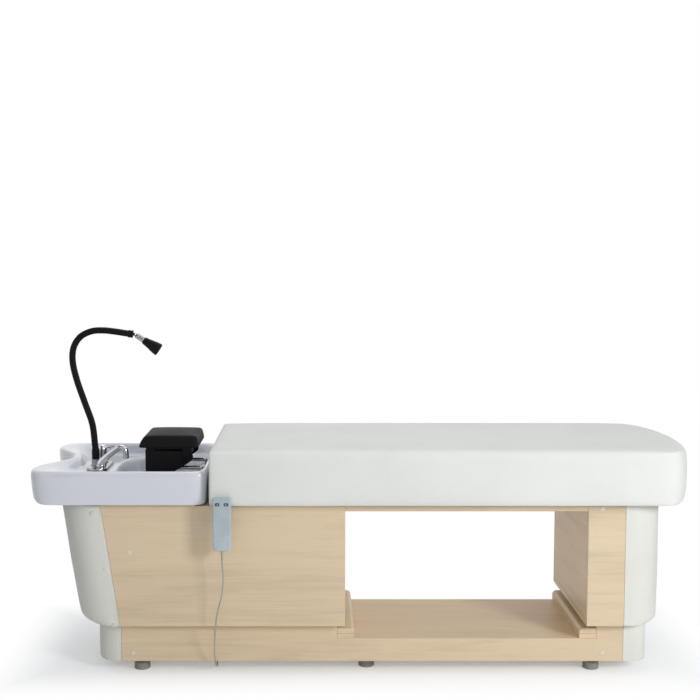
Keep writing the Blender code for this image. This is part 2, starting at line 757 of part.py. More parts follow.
def make_carcass():
    """The leaning head cabinet, the foot upright, the deck that joins them and the padded ends."""
    seat_foot = BASIN_FOOT - LEDGE_FOOT_RIM - FOOT_LEDGE / 2
    side = [
        (lean_x(CARCASS_BOTTOM), CARCASS_BOTTOM),
        (0.0, CARCASS_BOTTOM),
        (0.0, CARCASS_TOP),
        (seat_foot, CARCASS_TOP),
        (seat_foot, BASIN_SEAT),
        (lean_x(BASIN_SEAT), BASIN_SEAT),
    ]
    middle = BODY_HALF - BOARD / 2
    floor_top = CARCASS_BOTTOM + BOARD
    wall_top = DECK_BOTTOM - SEAT_GAP
    for hand, y in (("front", -middle), ("rear", middle)):
        plate("cabinet_" + hand, side, BOARD, y, FACING_Y, MAPLE)
        low = (BAY_LENGTH, y - BOARD / 2, CARCASS_BOTTOM)
        board("upright_" + hand, low, (UPRIGHT_END, y + BOARD / 2, CARCASS_TOP), MAPLE)
        low = (SEAT_GAP, y - BOARD / 2, DECK_BOTTOM)
        board("apron_" + hand, low, (BAY_LENGTH - SEAT_GAP, y + BOARD / 2, CARCASS_TOP), MAPLE)

    notch_half = ACTUATOR_RADIUS + NOTCH_CLEAR
    notch_floor = wall_top - 2 * ACTUATOR_DROP
    bay_wall = [
        (-INSIDE_BODY, floor_top + SEAT_GAP),
        (INSIDE_BODY, floor_top + SEAT_GAP),
        (INSIDE_BODY, wall_top),
        (notch_half, wall_top),
        (notch_half, notch_floor),
        (-notch_half, notch_floor),
        (-notch_half, wall_top),
        (-INSIDE_BODY, wall_top),
    ]
    plate("cabinet_side", bay_wall, BOARD, -BOARD / 2, FACING_X, MAPLE, ease=0.0)
    board(
        "upright_side",
        (BAY_LENGTH, -INSIDE_BODY, floor_top + SEAT_GAP),
        (BAY_LENGTH + BOARD, INSIDE_BODY, wall_top),
        MAPLE,
    )
    board(
        "cabinet_floor",
        (lean_x(CARCASS_BOTTOM) + SEAT_GAP, -INSIDE_BODY, CARCASS_BOTTOM),
        (0.0, INSIDE_BODY, floor_top),
        MAPLE,
        ease=0.0,
    )
    board(
        "upright_floor",
        (BAY_LENGTH, -INSIDE_BODY, CARCASS_BOTTOM),
        (UPRIGHT_END, INSIDE_BODY, floor_top),
        MAPLE,
        ease=0.0,
    )
    deck = board(
        "deck",
        (seat_foot + BOARD, -INSIDE_BODY, DECK_BOTTOM),
        (UPRIGHT_END, INSIDE_BODY, CARCASS_TOP),
        MAPLE,
        ease=0.0,
    )
    slot = (SLIDE_TRAVEL + DRIVE_BRACKET + 2 * SLOT_MARGIN, DRIVE_WIDTH + SLOT_MARGIN, 3 * BOARD)
    combine(deck, box_mesh(slot), (DRIVE_X + SLIDE_TRAVEL / 2, 0.0, CARCASS_TOP), "DIFFERENCE")

    low = (lean_x(CARCASS_BOTTOM) - SEAT_GAP - HEAD_PAD_DEPTH, -BODY_HALF, CARCASS_BOTTOM)
    high = (lean_x(CARCASS_BOTTOM) - SEAT_GAP, BODY_HALF, CARCASS_TOP - PAD_TOP_GAP)
    rounded_end("head_end_pad", low, high, -1, HEAD_PAD_ROUND, HEAD_PAD_LOWER_ROUND, math.tan(HEAD_LEAN))
    low = (UPRIGHT_END + SEAT_GAP, -BODY_HALF, CARCASS_BOTTOM)
    high = (UPRIGHT_END + SEAT_GAP + FOOT_PAD_DEPTH, BODY_HALF, CARCASS_TOP - PAD_TOP_GAP)
    rounded_end("foot_end_pad", low, high, 1, FOOT_PAD_ROUND, FOOT_PAD_LOWER_ROUND, 0.0)


# Mattress and the slide that carries it


def make_mattress(owner):
    """The mattress on its board and runners, and the actuator that drives them."""
    low = (MATTRESS_HEAD, -MATTRESS_HALF, MATTRESS_BOTTOM)
    high = (MATTRESS_FOOT, MATTRESS_HALF, MATTRESS_TOP)
    middle = (MATTRESS_HEAD + MATTRESS_FOOT) / 2
    along = spaced(MATTRESS_HEAD, MATTRESS_FOOT, MATTRESS_ROUND, MATTRESS_FOOT_ROUND, 6)
    across = spaced(-MATTRESS_HALF, MATTRESS_HALF, MATTRESS_ROUND, MATTRESS_ROUND, 7)
    upward = spaced(MATTRESS_BOTTOM, MATTRESS_TOP, MATTRESS_LOWER_ROUND, MATTRESS_ROUND, 3)

    def shape_point(point):
        across_share = point.y / MATTRESS_HALF
        along_share = (point.x - middle) / (MATTRESS_LENGTH / 2)
        up_share = (point.z - MATTRESS_BOTTOM) / MATTRESS_THICKNESS
        if point.x > MATTRESS_FOOT - MATTRESS_FOOT_ROUND / 2:
            point.x -= MATTRESS_FOOT_TOP_SETBACK * up_share**8
            point.x -= MATTRESS_FOOT_LOWER_SETBACK * (1.0 - up_share) ** 4
        if along_share > 0.0:
            corner = setback(MATTRESS_HALF - abs(point.y), MATTRESS_CORNER_ROUND)
            point.x -= (FOOT_BOW * across_share**2 + corner) * along_share**2
        point.y -= math.copysign(MATTRESS_DRAW_IN, point.y) * (1.0 - up_share) * across_share**2
        if up_share > 0.99:
            point.z += MATTRESS_CROWN * (1.0 - across_share**2) * (1.0 - along_share**4)
        return point

    mattress = cushion("mattress", low, high, (along, across, upward), shape_point, owner)
    start = MATTRESS_HEAD + MATTRESS_BOARD_INSET
    end = MATTRESS_FOOT - FOOT_BOW - MATTRESS_BOARD_INSET
    side = MATTRESS_HALF - MATTRESS_BOARD_INSET
    board(
        "mattress_board",
        (start, -side, MATTRESS_BOARD_BOTTOM),
        (end, side, MATTRESS_BOARD_BOTTOM + MATTRESS_BOARD),
        MAPLE,
        owner,
    )
    recess = (end - start + 2 * SEAT_GAP, 2 * (side + SEAT_GAP), 2 * MATTRESS_WRAP)
    combine(mattress, box_mesh(recess), ((start + end) / 2, 0.0, MATTRESS_BOTTOM), "DIFFERENCE")
    make_slides(owner)
    make_actuator(owner)


def make_slides(owner):
    """Two fixed rails on the deck, and the channel-shaped runners that ride on them."""
    rail_start = MATTRESS_HEAD + MATTRESS_BOARD_INSET
    rail_end = rail_start + SLIDE_RAIL_LENGTH
    half = SLIDE_RAIL_WIDTH / 2
    inner, outer = half + RUN_GAP, half + RUN_GAP + RUNNER_WALL
    lip = CARCASS_TOP + SLIDE_RAIL_HEIGHT / 3
    runner_length = SLIDE_RAIL_LENGTH - SLIDE_TRAVEL
    for hand, side in (("near", -SLIDE_RAIL_SIDE), ("far", SLIDE_RAIL_SIDE)):
        low = (rail_start, side - half, CARCASS_TOP + SEAT_GAP)
        rail = board("slide_rail_" + hand, low, (rail_end, side + half, SLIDE_RAIL_TOP), STEEL, ease=0.0)
        rail.data.materials[0].node_tree.nodes["Principled BSDF"].inputs["Metallic"].default_value = 1.0
        channel = [
            (side - outer, lip),
            (side - inner, lip),
            (side - inner, SLIDE_RAIL_TOP + SEAT_GAP),
            (side + inner, SLIDE_RAIL_TOP + SEAT_GAP),
            (side + inner, lip),
            (side + outer, lip),
            (side + outer, RUNNER_TOP),
            (side - outer, RUNNER_TOP),
        ]
        middle = rail_start + runner_length / 2
        plate("runner_" + hand, channel, runner_length, middle, FACING_X, DARK_GREY, owner, ease=0.0)


def make_actuator(owner):
    """A linear actuator under the deck: its rod pushes the mattress board through a slot."""
    axis = DECK_BOTTOM - ACTUATOR_DROP
    mouth = DRIVE_X - DRIVE_BRACKET / 2 - ROD_SHOW
    tube_length = SLIDE_TRAVEL + 2 * ROD_ENGAGED
    tube_back = mouth - tube_length
    lying = (0.0, math.pi / 2, 0.0)
    body = board(
        "actuator_body",
        (tube_back - MOTOR_LENGTH, -MOTOR_WIDTH / 2, DECK_BOTTOM - SEAT_GAP - MOTOR_HEIGHT),
        (tube_back, MOTOR_WIDTH / 2, DECK_BOTTOM - SEAT_GAP),
        DARK_GREY,
        ease=MOTOR_EDGE,
    )
    sleeve = cylinder_mesh(ACTUATOR_RADIUS, tube_length + JOIN)
    combine(body, sleeve, (mouth - (tube_length + JOIN) / 2, 0.0, axis), "UNION", lying)
    bore = cylinder_mesh(ACTUATOR_BORE, 2 * (tube_length - ROD_ENGAGED / 2))
    combine(body, bore, (mouth, 0.0, axis), "DIFFERENCE", lying)
    rod_back = mouth - SLIDE_TRAVEL - ROD_ENGAGED
    rod_front = DRIVE_X - DRIVE_BRACKET / 2 - SEAT_GAP
    rod = add_part(
        "actuator_rod",
        cylinder_mesh(ROD_RADIUS, rod_front - rod_back),
        ((rod_front + rod_back) / 2, 0.0, axis),
        STEEL,
        owner,
        0.25,
        1.0,
    )
    rod.rotation_euler = lying
    board(
        "drive_bracket",
        (DRIVE_X - DRIVE_BRACKET / 2, -DRIVE_WIDTH / 2, axis - ROD_RADIUS),
        (DRIVE_X + DRIVE_BRACKET / 2, DRIVE_WIDTH / 2, MATTRESS_BOARD_BOTTOM - SEAT_GAP),
        STEEL,
        owner,
    )


# Basin


def rounded_ring(centre, half_length, half_width, squareness, height):
    """Points round a soft rectangle in plan, one for each station."""
    ring = []
    for station in range(BASIN_STATIONS):
        angle = 2 * math.pi * station / BASIN_STATIONS
        across, along = abs(math.sin(angle)) / half_width, abs(math.cos(angle)) / half_length
        reach = (along**squareness + across**squareness) ** (-1 / squareness)
        ring.append(Vector((centre + reach * math.cos(angle), reach * math.sin(angle), height)))
    return ring


def basin_outline(inset, height):
    """The basin's outer edge in plan, scalloped at the head end."""
    centre = (BASIN_HEAD + BASIN_FOOT) / 2
    ring = rounded_ring(centre, BASIN_LENGTH / 2 - inset, BASIN_HALF - inset, 10.0, height)
    for point in ring:
        if point.x < centre and abs(point.y) < SCALLOP_HALF:
            point.x += SCALLOP_DEPTH * (1 + math.cos(math.pi * point.y / SCALLOP_HALF)) / 2
    return ring


def ledge_ring(grow, height):
    """The outer edge of the ledge inside the rim."""
    middle = (LEDGE_HEAD + LEDGE_FOOT) / 2
    return rounded_ring(middle, (LEDGE_FOOT - LEDGE_HEAD) / 2 + grow, LEDGE_HALF + grow, 7.0, height)


def bowl_ring(share, grow, squareness, height):
    """A level of the bowl, as a share of its top opening."""
    length = (BOWL_FOOT - BOWL_HEAD) / 2 * share + grow
    return rounded_ring(BOWL_MIDDLE, length, BOWL_HALF * share + grow, squareness, height)


def between(inner, outer, share, height):
    """A ring that lies between two others."""
    ring = []
    for start, end in zip(inner, outer):
        point = start.lerp(end, share)
        point.z = height
        ring.append(point)
    return ring


def make_basin():
    """The glazed basin: skirt, rim, tap ledge and bowl, with an even wall and an open underside."""
    wall = BASIN_WALL
    rim_edge = basin_outline(RIM_ROUND, RIM_TOP)
    ledge = ledge_ring(0.0, LEDGE_TOP)
    under_ledge = ledge_ring(UNDER_LEDGE_GROW, LEDGE_TOP - wall)
    under_rim = RIM_TOP - 1.5 * wall
    skirt_top = basin_outline(wall, under_rim)
    rings = [
        basin_outline(BASIN_DRAFT, BASIN_BOTTOM),
        basin_outline(0.0, RIM_TOP - 2 * RIM_ROUND),
        basin_outline(RIM_ROUND * 0.3, RIM_TOP - RIM_ROUND * 0.5),
        rim_edge,
        between(ledge, rim_edge, 0.6, RIM_TOP - RIM_ROUND * 0.3),
        between(ledge, rim_edge, 0.12, LEDGE_TOP + LEDGE_FILLET),
        ledge,
        bowl_ring(1.0, 0.0, 4.5, LEDGE_TOP),
        bowl_ring(1.0, -BOWL_LIP_INSET, 4.0, LEDGE_TOP - BOWL_LIP),
        bowl_ring(0.82, 0.0, 3.5, BOWL_BOTTOM + BOWL_TURN),
        bowl_ring(0.60, 0.0, 3.0, BOWL_BOTTOM + BOWL_FLOOR_RISE),
        rounded_ring(BOWL_MIDDLE, DRAIN_RADIUS, DRAIN_RADIUS, 2.0, BOWL_BOTTOM),
        rounded_ring(BOWL_MIDDLE, DRAIN_RADIUS, DRAIN_RADIUS, 2.0, BOWL_BOTTOM - wall),
        bowl_ring(0.60, wall / 2, 3.0, BOWL_BOTTOM + BOWL_FLOOR_RISE - wall),
        bowl_ring(0.82, wall, 3.5, BOWL_BOTTOM + BOWL_TURN - wall * 0.375),
        bowl_ring(1.0, wall * 0.9, 4.5, LEDGE_TOP - wall),
        under_ledge,
        between(under_ledge, skirt_top, 0.6, under_rim),
        skirt_top,
        basin_outline(BASIN_DRAFT + wall, BASIN_BOTTOM),
    ]
    shape = bmesh.new()
    loops = [[shape.verts.new(point) for point in ring] for ring in rings]
    for lower, upper in zip(loops, loops[1:] + loops[:1]):
        for here in range(BASIN_STATIONS):
            there = (here + 1) % BASIN_STATIONS
            shape.faces.new((lower[here], lower[there], upper[there], upper[here]))
    basin = add_part("basin", to_mesh(shape), (0.0, 0.0, 0.0), GLAZE, roughness=0.12)
    hole = cylinder_mesh(SHANK_RADIUS + RUN_GAP, 6 * wall)
    combine(basin, hole, (TAP_X, 0.0, LEDGE_TOP), "DIFFERENCE")


def hose_route(x, top, floor, from_top, to_floor, way):
    """A hose's way down: points below its top end, then points above the cabinet floor."""
    route = [(x + along, way * across, top - down) for along, across, down in from_top]
    return route + [(x + along, way * across, floor + up) for along, across, up in to_floor]


def make_plumbing():
    """Drain waste, waste hose and the two supply hoses, inside the cabinet."""
    seat = BOWL_BOTTOM + SEAT_GAP
    tail_bottom = BOWL_BOTTOM - TAIL_LENGTH
    profile = [
        (0.0, seat + STRAINER_THICKNESS),
        (STRAINER_RADIUS, seat + STRAINER_THICKNESS * 1.5),
        (STRAINER_RADIUS, seat + STRAINER_THICKNESS * 0.5),
        (TAIL_RADIUS, seat),
        (TAIL_RADIUS, tail_bottom),
        (0.0, tail_bottom),
    ]
    turned("drain_waste", profile, (BOWL_MIDDLE, 0.0, 0.0), CHROME, metallic=1.0)
    floor = CARCASS_BOTTOM + BOARD + SEAT_GAP
    top = tail_bottom - SEAT_GAP
    route = hose_route(BOWL_MIDDLE, top, floor, WASTE_FROM_TAIL, WASTE_TO_FLOOR, 1)
    tube("waste_hose", smooth_route(route, WASTE_POINTS), HOSE_RADIUS, PALE_GREY)
    top = LEDGE_TOP - SHANK_LENGTH - SEAT_GAP
    for label, way in (("cold", -1), ("hot", 1)):
        route = hose_route(TAP_X, top, floor, SUPPLY_FROM_TAP, SUPPLY_TO_FLOOR, way)
        points = smooth_route(route, SUPPLY_POINTS)
        tube("supply_hose_" + label, points, SUPPLY_RADIUS, STEEL, fineness=1, metallic=0.6)


# Mixer tap and spray arm

TAP_PLATE_BOTTOM = LEDGE_TOP + SEAT_GAP
TAP_PLATE_TOP = TAP_PLATE_BOTTOM + TAP_PLATE_HEIGHT
SPOUT_X = TAP_X + SPOUT_AHEAD
ARM_X = TAP_X - ARM_BACK
ARM_FOOT = TAP_PLATE_TOP + ARM_NUT_HEIGHT + SEAT_GAP
MIXER_TOP = TAP_PLATE_TOP + MIXER_HEIGHT
DOME_CENTRE = MIXER_TOP + SEAT_GAP + DOME_RISE


def make_tap():
    """The tap body on its plate, the turning spout, and the dome with its lever."""
    half_width = TAP_PLATE_WIDTH / 2
    straight = TAP_PLATE_LENGTH / 2 - half_width
    rim = []
    for step in range(ROUND_STEPS):
        angle = 2 * math.pi * (step + 0.5) / ROUND_STEPS
        shift = math.copysign(straight, math.sin(angle))
        rim.append((TAP_X + half_width * math.cos(angle), shift + half_width * math.sin(angle)))
    plate_curve = outline_curve(rim, TAP_PLATE_HEIGHT, 0.0)
    middle = (TAP_PLATE_BOTTOM + TAP_PLATE_TOP) / 2
    plate_part = add_part("tap_body", plate_curve, (0.0, 0.0, middle), CHROME, roughness=0.08, metallic=1.0)
    body = as_mesh(plate_part)
    shank_height = SHANK_LENGTH + SEAT_GAP + JOIN
    shank = cylinder_mesh(SHANK_RADIUS, shank_height)
    combine(body, shank, (TAP_X, 0.0, TAP_PLATE_BOTTOM + JOIN - shank_height / 2), "UNION")
    nut = cylinder_mesh(ARM_NUT_RADIUS, ARM_NUT_HEIGHT + JOIN, steps=SMALL_ROUND_STEPS)
    combine(body, nut, (ARM_X, ARM_SIDE, TAP_PLATE_TOP + (ARM_NUT_HEIGHT - JOIN) / 2), "UNION")
    post = cylinder_mesh(MIXER_RADIUS, MIXER_HEIGHT + JOIN)
    combine(body, post, (TAP_X, MIXER_SIDE, TAP_PLATE_TOP + (MIXER_HEIGHT - JOIN) / 2), "UNION")

    foot = TAP_PLATE_TOP + SEAT_GAP
    owner = carrier("axis_spout", (SPOUT_X, SPOUT_SIDE, foot), BED)
    points = smooth_route([(SPOUT_X + x, SPOUT_SIDE, foot + z) for x, z in SPOUT_ROUTE], SPOUT_POINTS)
    last = len(points) - 1
    slim = SPOUT_TIP_RADIUS / SPOUT_RADIUS
    radii = [1.0 + (slim - 1.0) * index / last for index in range(last + 1)]
    tube("spout", points, SPOUT_RADIUS, CHROME, owner, radii, 3, 0.06, 1.0)

    dome_owner = carrier("axis_mixer_dome", (TAP_X, MIXER_SIDE, MIXER_TOP), BED)
    base = MIXER_TOP + SEAT_GAP
    start = math.asin((DOME_CENTRE - base) / MIXER_RADIUS)
    profile = [(0.0, DOME_CENTRE + MIXER_RADIUS)]
    for step in range(1, 9):
        angle = math.pi / 2 - (math.pi / 2 + start) * step / 8
        profile.append((MIXER_RADIUS * math.cos(angle), DOME_CENTRE + MIXER_RADIUS * math.sin(angle)))
    profile.append((0.0, base))
    turned("mixer_dome", profile, (TAP_X, MIXER_SIDE, 0.0), CHROME, dome_owner, metallic=1.0)

    lever_owner = carrier("axis_mixer_lever", (TAP_X, MIXER_SIDE, DOME_CENTRE), dome_owner)
    root = MIXER_RADIUS + SEAT_GAP
    level = DOME_CENTRE + LEVER_RISE
    route = [
        (TAP_X + root, MIXER_SIDE, level),
        (TAP_X + root + LEVER_LENGTH / 2, MIXER_SIDE, level + LEVER_BOW),
        (TAP_X + root + LEVER_LENGTH, MIXER_SIDE, level + LEVER_BOW * 2 / 3),
    ]
    points = smooth_route(route, LEVER_POINTS)
    tube("mixer_lever", points, LEVER_RADIUS, CHROME, lever_owner, roughness=0.1, metallic=1.0)


def make_spray():
    """The flexible arm on its nut, then the neck on a ball and the spray head."""
    owner = carrier("axis_spray_arm", (ARM_X, ARM_SIDE, ARM_FOOT), BED)
    points = smooth_route([(ARM_X + x, ARM_SIDE, ARM_FOOT + z) for x, z in ARM_ROUTE], ARM_POINTS)
    radii = [1.0] * len(points)
    collar = ARM_COLLAR_RADIUS / ARM_RADIUS
    end_collar = ARM_END_COLLAR_RADIUS / ARM_RADIUS
    for index, point in enumerate(points):
        if point.z - ARM_FOOT < ARM_COLLAR_LENGTH:
            radii[index] = collar
        if (point - points[-1]).length < ARM_END_COLLAR_LENGTH + 2 * JOIN:
            radii[index] = end_collar
    tube("spray_arm", points, ARM_RADIUS, BLACK, owner, radii, 2, 0.45)

    way = (points[-1] - points[-2]).normalized()
    ball = points[-1] + way * (SPRAY_BALL_RADIUS + SEAT_GAP)
    spray = carrier("axis_spray_head", tuple(ball), owner)
    pointing = (0.0, math.pi / 2 + SPRAY_DROOP, 0.0)
    neck_start = SPRAY_BALL_RADIUS * 0.75
    neck_end = neck_start + SPRAY_NECK_LENGTH
    neck = [(0.0, neck_end), (SPRAY_NECK_RADIUS, neck_end), (SPRAY_NECK_RADIUS, neck_start + 0.004)]
    for step in range(7):
        angle = math.radians(35.0) - math.radians(125.0) * step / 6
        neck.append((SPRAY_BALL_RADIUS * max(math.cos(angle), 0.0), SPRAY_BALL_RADIUS * math.sin(angle)))
    neck[-1] = (0.0, -SPRAY_BALL_RADIUS)
    turned("spray_neck", neck, ball, CHROME, spray, SPRAY_NECK_STEPS, pointing, 1.0)
    back = neck_end + SEAT_GAP
    front = back + SPRAY_LENGTH
    head = [
        (0.0, front - SPRAY_RECESS),
        (SPRAY_MOUTH_RADIUS * 0.82, front - SPRAY_RECESS),
        (SPRAY_MOUTH_RADIUS * 0.86, front),
        (SPRAY_MOUTH_RADIUS * 0.96, front),
        (SPRAY_MOUTH_RADIUS, front - 0.004),
        (SPRAY_MOUTH_RADIUS * 0.94, back + SPRAY_LENGTH * 0.75),
        (SPRAY_BACK_RADIUS * 1.15, back + SPRAY_LENGTH * 0.25),
        (SPRAY_BACK_RADIUS, back + 0.004),
        (SPRAY_BACK_RADIUS * 0.8, back),
        (0.0, back),
    ]
    turned("spray_head", head, ball, BLACK, spray, SPRAY_HEAD_STEPS, pointing)


# Neck rest

REST_AXIS = LEDGE_TOP + REST_RAIL_RISE
BRACKET_FOOT = MATTRESS_HEAD - BRACKET_TO_MATTRESS
BRACKET_HEAD = BRACKET_FOOT - BRACKET_LENGTH
PIVOT_X = BRACKET_FOOT - PIVOT_RADIUS
PIVOT_Z = REST_AXIS + PIVOT_ABOVE_RAIL
CRADLE_TOP = PIVOT_Z + CRADLE_RISE + CRADLE_WALL


def make_neck_rest():
    """Two rails on the foot ledge, a bracket sliding on them, and the cradle that tilts on its pin."""
    end_x = LEDGE_FOOT - REST_RAIL_INSET
    for hand, y in (("near", -REST_RAIL_SIDE), ("far", REST_RAIL_SIDE)):
        points = [(end_x - REST_RAIL_LENGTH, y, REST_AXIS), (end_x - REST_RAIL_LENGTH / 2, y, REST_AXIS)]
        for step in range(7):
            angle = math.pi / 2 * step / 6
            forward = REST_RAIL_BEND * (math.sin(angle) - 1.0)
            down = REST_RAIL_BEND * (math.cos(angle) - 1.0)
            points.append((end_x + forward, y, REST_AXIS + down))
        points.append((end_x, y, LEDGE_TOP + SEAT_GAP))
        tube("rest_rail_" + hand, points, REST_RAIL_RADIUS, CHROME, roughness=0.1, metallic=1.0)

    sliding = carrier("axis_neck_bracket", (BRACKET_HEAD, 0.0, REST_AXIS), BED)
    low = REST_AXIS - BRACKET_BELOW_RAIL
    top = PIVOT_Z + PIVOT_RADIUS
    plate_bottom = CRADLE_TOP - CRADLE_WALL
    side = [
        (BRACKET_HEAD + 0.004, low),
        (BRACKET_HEAD + BRACKET_LENGTH * 0.40, low),
        (BRACKET_HEAD + BRACKET_LENGTH * 0.70, REST_AXIS - 0.001),
        (PIVOT_X - 0.004, PIVOT_Z - PIVOT_RADIUS - 0.007),
    ]
    for step in range(7):
        angle = math.radians(-50.0) + math.radians(140.0) * step / 6
        side.append((PIVOT_X + PIVOT_RADIUS * math.cos(angle), PIVOT_Z + PIVOT_RADIUS * math.sin(angle)))
    side += [
        (BRACKET_HEAD + STOP_POST, top),
        (BRACKET_HEAD + STOP_POST, plate_bottom - SEAT_GAP),
        (BRACKET_HEAD, plate_bottom - SEAT_GAP),
        (BRACKET_HEAD, REST_AXIS),
    ]
    bracket = as_mesh(plate("neck_bracket", side, 2 * BRACKET_HALF, 0.0, FACING_Y, BLACK, sliding, 0.0))
    trough = (2 * BRACKET_LENGTH, 2 * (BRACKET_HALF - BRACKET_WALL), 2 * PIVOT_ABOVE_RAIL)
    trough_middle = REST_AXIS + BRACKET_FLOOR + PIVOT_ABOVE_RAIL
    combine(bracket, box_mesh(trough), (BRACKET_HEAD, 0.0, trough_middle), "DIFFERENCE")
    for y in (-REST_RAIL_SIDE, REST_RAIL_SIDE):
        bore = cylinder_mesh(REST_RAIL_RADIUS + RUN_GAP, 3 * BRACKET_LENGTH)
        combine(bracket, bore, (BRACKET_HEAD, y, REST_AXIS), "DIFFERENCE", (0.0, math.pi / 2, 0.0))
    across = (math.pi / 2, 0.0, 0.0)
    pin_hole = cylinder_mesh(PIN_RADIUS + RUN_GAP, 3 * BRACKET_HALF)
    combine(bracket, pin_hole, (PIVOT_X, 0.0, PIVOT_Z), "DIFFERENCE", across)
    make_cradle(sliding, plate_bottom, across)


def make_cradle(sliding, plate_bottom, across):
    """The cradle, a plate on a strap with its pivot pin, and the pillow on it."""
    tilting = carrier("axis_neck_cradle", (PIVOT_X, 0.0, PIVOT_Z), sliding)
    inner = BRACKET_HALF + RUN_GAP
    outer = inner + CRADLE_WALL
    strap_low = PIVOT_Z - 3 * PIN_RADIUS
    strap = [
        (-outer, strap_low),
        (-inner, strap_low),
        (-inner, plate_bottom),
        (inner, plate_bottom),
        (inner, strap_low),
        (outer, strap_low),
        (outer, CRADLE_TOP),
        (-outer, CRADLE_TOP),
    ]
    cradle = as_mesh(plate("neck_cradle", strap, CRADLE_STRAP, PIVOT_X, FACING_X, BLACK, tilting, 0.0))
    plate_length = PILLOW_LENGTH - 4 * PILLOW_ROUND
    plate_middle = BRACKET_HEAD - PILLOW_HEAD_REACH + PILLOW_LENGTH / 2
    shelf = box_mesh((plate_length, 2 * inner - JOIN, CRADLE_WALL))
    combine(cradle, shelf, (plate_middle, 0.0, CRADLE_TOP - CRADLE_WALL / 2), "UNION")
    pin = cylinder_mesh(PIN_RADIUS, 2 * (outer + JOIN))
    combine(cradle, pin, (PIVOT_X, 0.0, PIVOT_Z), "UNION", across)

    low = (BRACKET_HEAD - PILLOW_HEAD_REACH, -PILLOW_WIDTH / 2, CRADLE_TOP + SEAT_GAP)
    high = (low[0] + PILLOW_LENGTH, PILLOW_WIDTH / 2, low[2] + PILLOW_THICKNESS)
    along = spaced(low[0], high[0], PILLOW_ROUND, PILLOW_ROUND, 4)
    across_loops = spaced(low[1], high[1], PILLOW_ROUND, PILLOW_ROUND, 4)
    upward = spaced(low[2], high[2], PILLOW_ROUND * 0.4, PILLOW_ROUND, 3)
    middle = (low[0] + high[0]) / 2

    def shape_point(point):
        up_share = (point.z - low[2]) / PILLOW_THICKNESS
        along_share = (point.x - middle) / (PILLOW_LENGTH / 2)
        across_share = point.y / (PILLOW_WIDTH / 2)
        point.x -= PILLOW_TAPER * up_share**2 * along_share * (1.0 if along_share < 0 else 0.4)
        point.y -= PILLOW_TAPER * 0.7 * up_share**2 * across_share
        if up_share > 0.99:
            point.z += PILLOW_CROWN * (1.0 - across_share**2) * (1.0 - along_share**2)
        return point

    cushion("neck_pillow", low, high, (along, across_loops, upward), shape_point, tilting, BLACK)


# Handset and its cord

HANDSET_TOP = MATTRESS_BOTTOM + HANDSET_OVERLAP
HANDSET_BOTTOM = HANDSET_TOP - HANDSET_HEIGHT
CORD_EXIT_Y = (HANDSET_BACK + HANDSET_FRONT) / 2
CORD_ROUTE = (
    (HANDSET_X, CORD_EXIT_Y, HANDSET_BOTTOM - SEAT_GAP - RELIEF_LENGTH - SEAT_GAP),
    (-0.389, CORD_EXIT_Y, 0.388),
    (-0.386, -0.3185, 0.356),
    (-0.388, -0.315, 0.318),
    (-0.394, -0.308, 0.279),
    (-0.406, -0.298, 0.235),
    (-0.4145, -0.285, 0.182),
    (-0.4185, -0.270, 0.137),
    (-0.421, -0.252, 0.088),
    (-0.421, -0.2265, 0.047),
    (-0.421, -0.200, 0.0255),
    (-0.421, -0.176, 0.0125),
    (-0.421, -0.156, 0.0085),
    (-0.421, -0.146, 0.0190),
    (-0.421, -0.146, 0.0265),
    (-0.421, -0.146, FOOT_HEIGHT - GLAND_HEIGHT - 2 * SEAT_GAP),
)


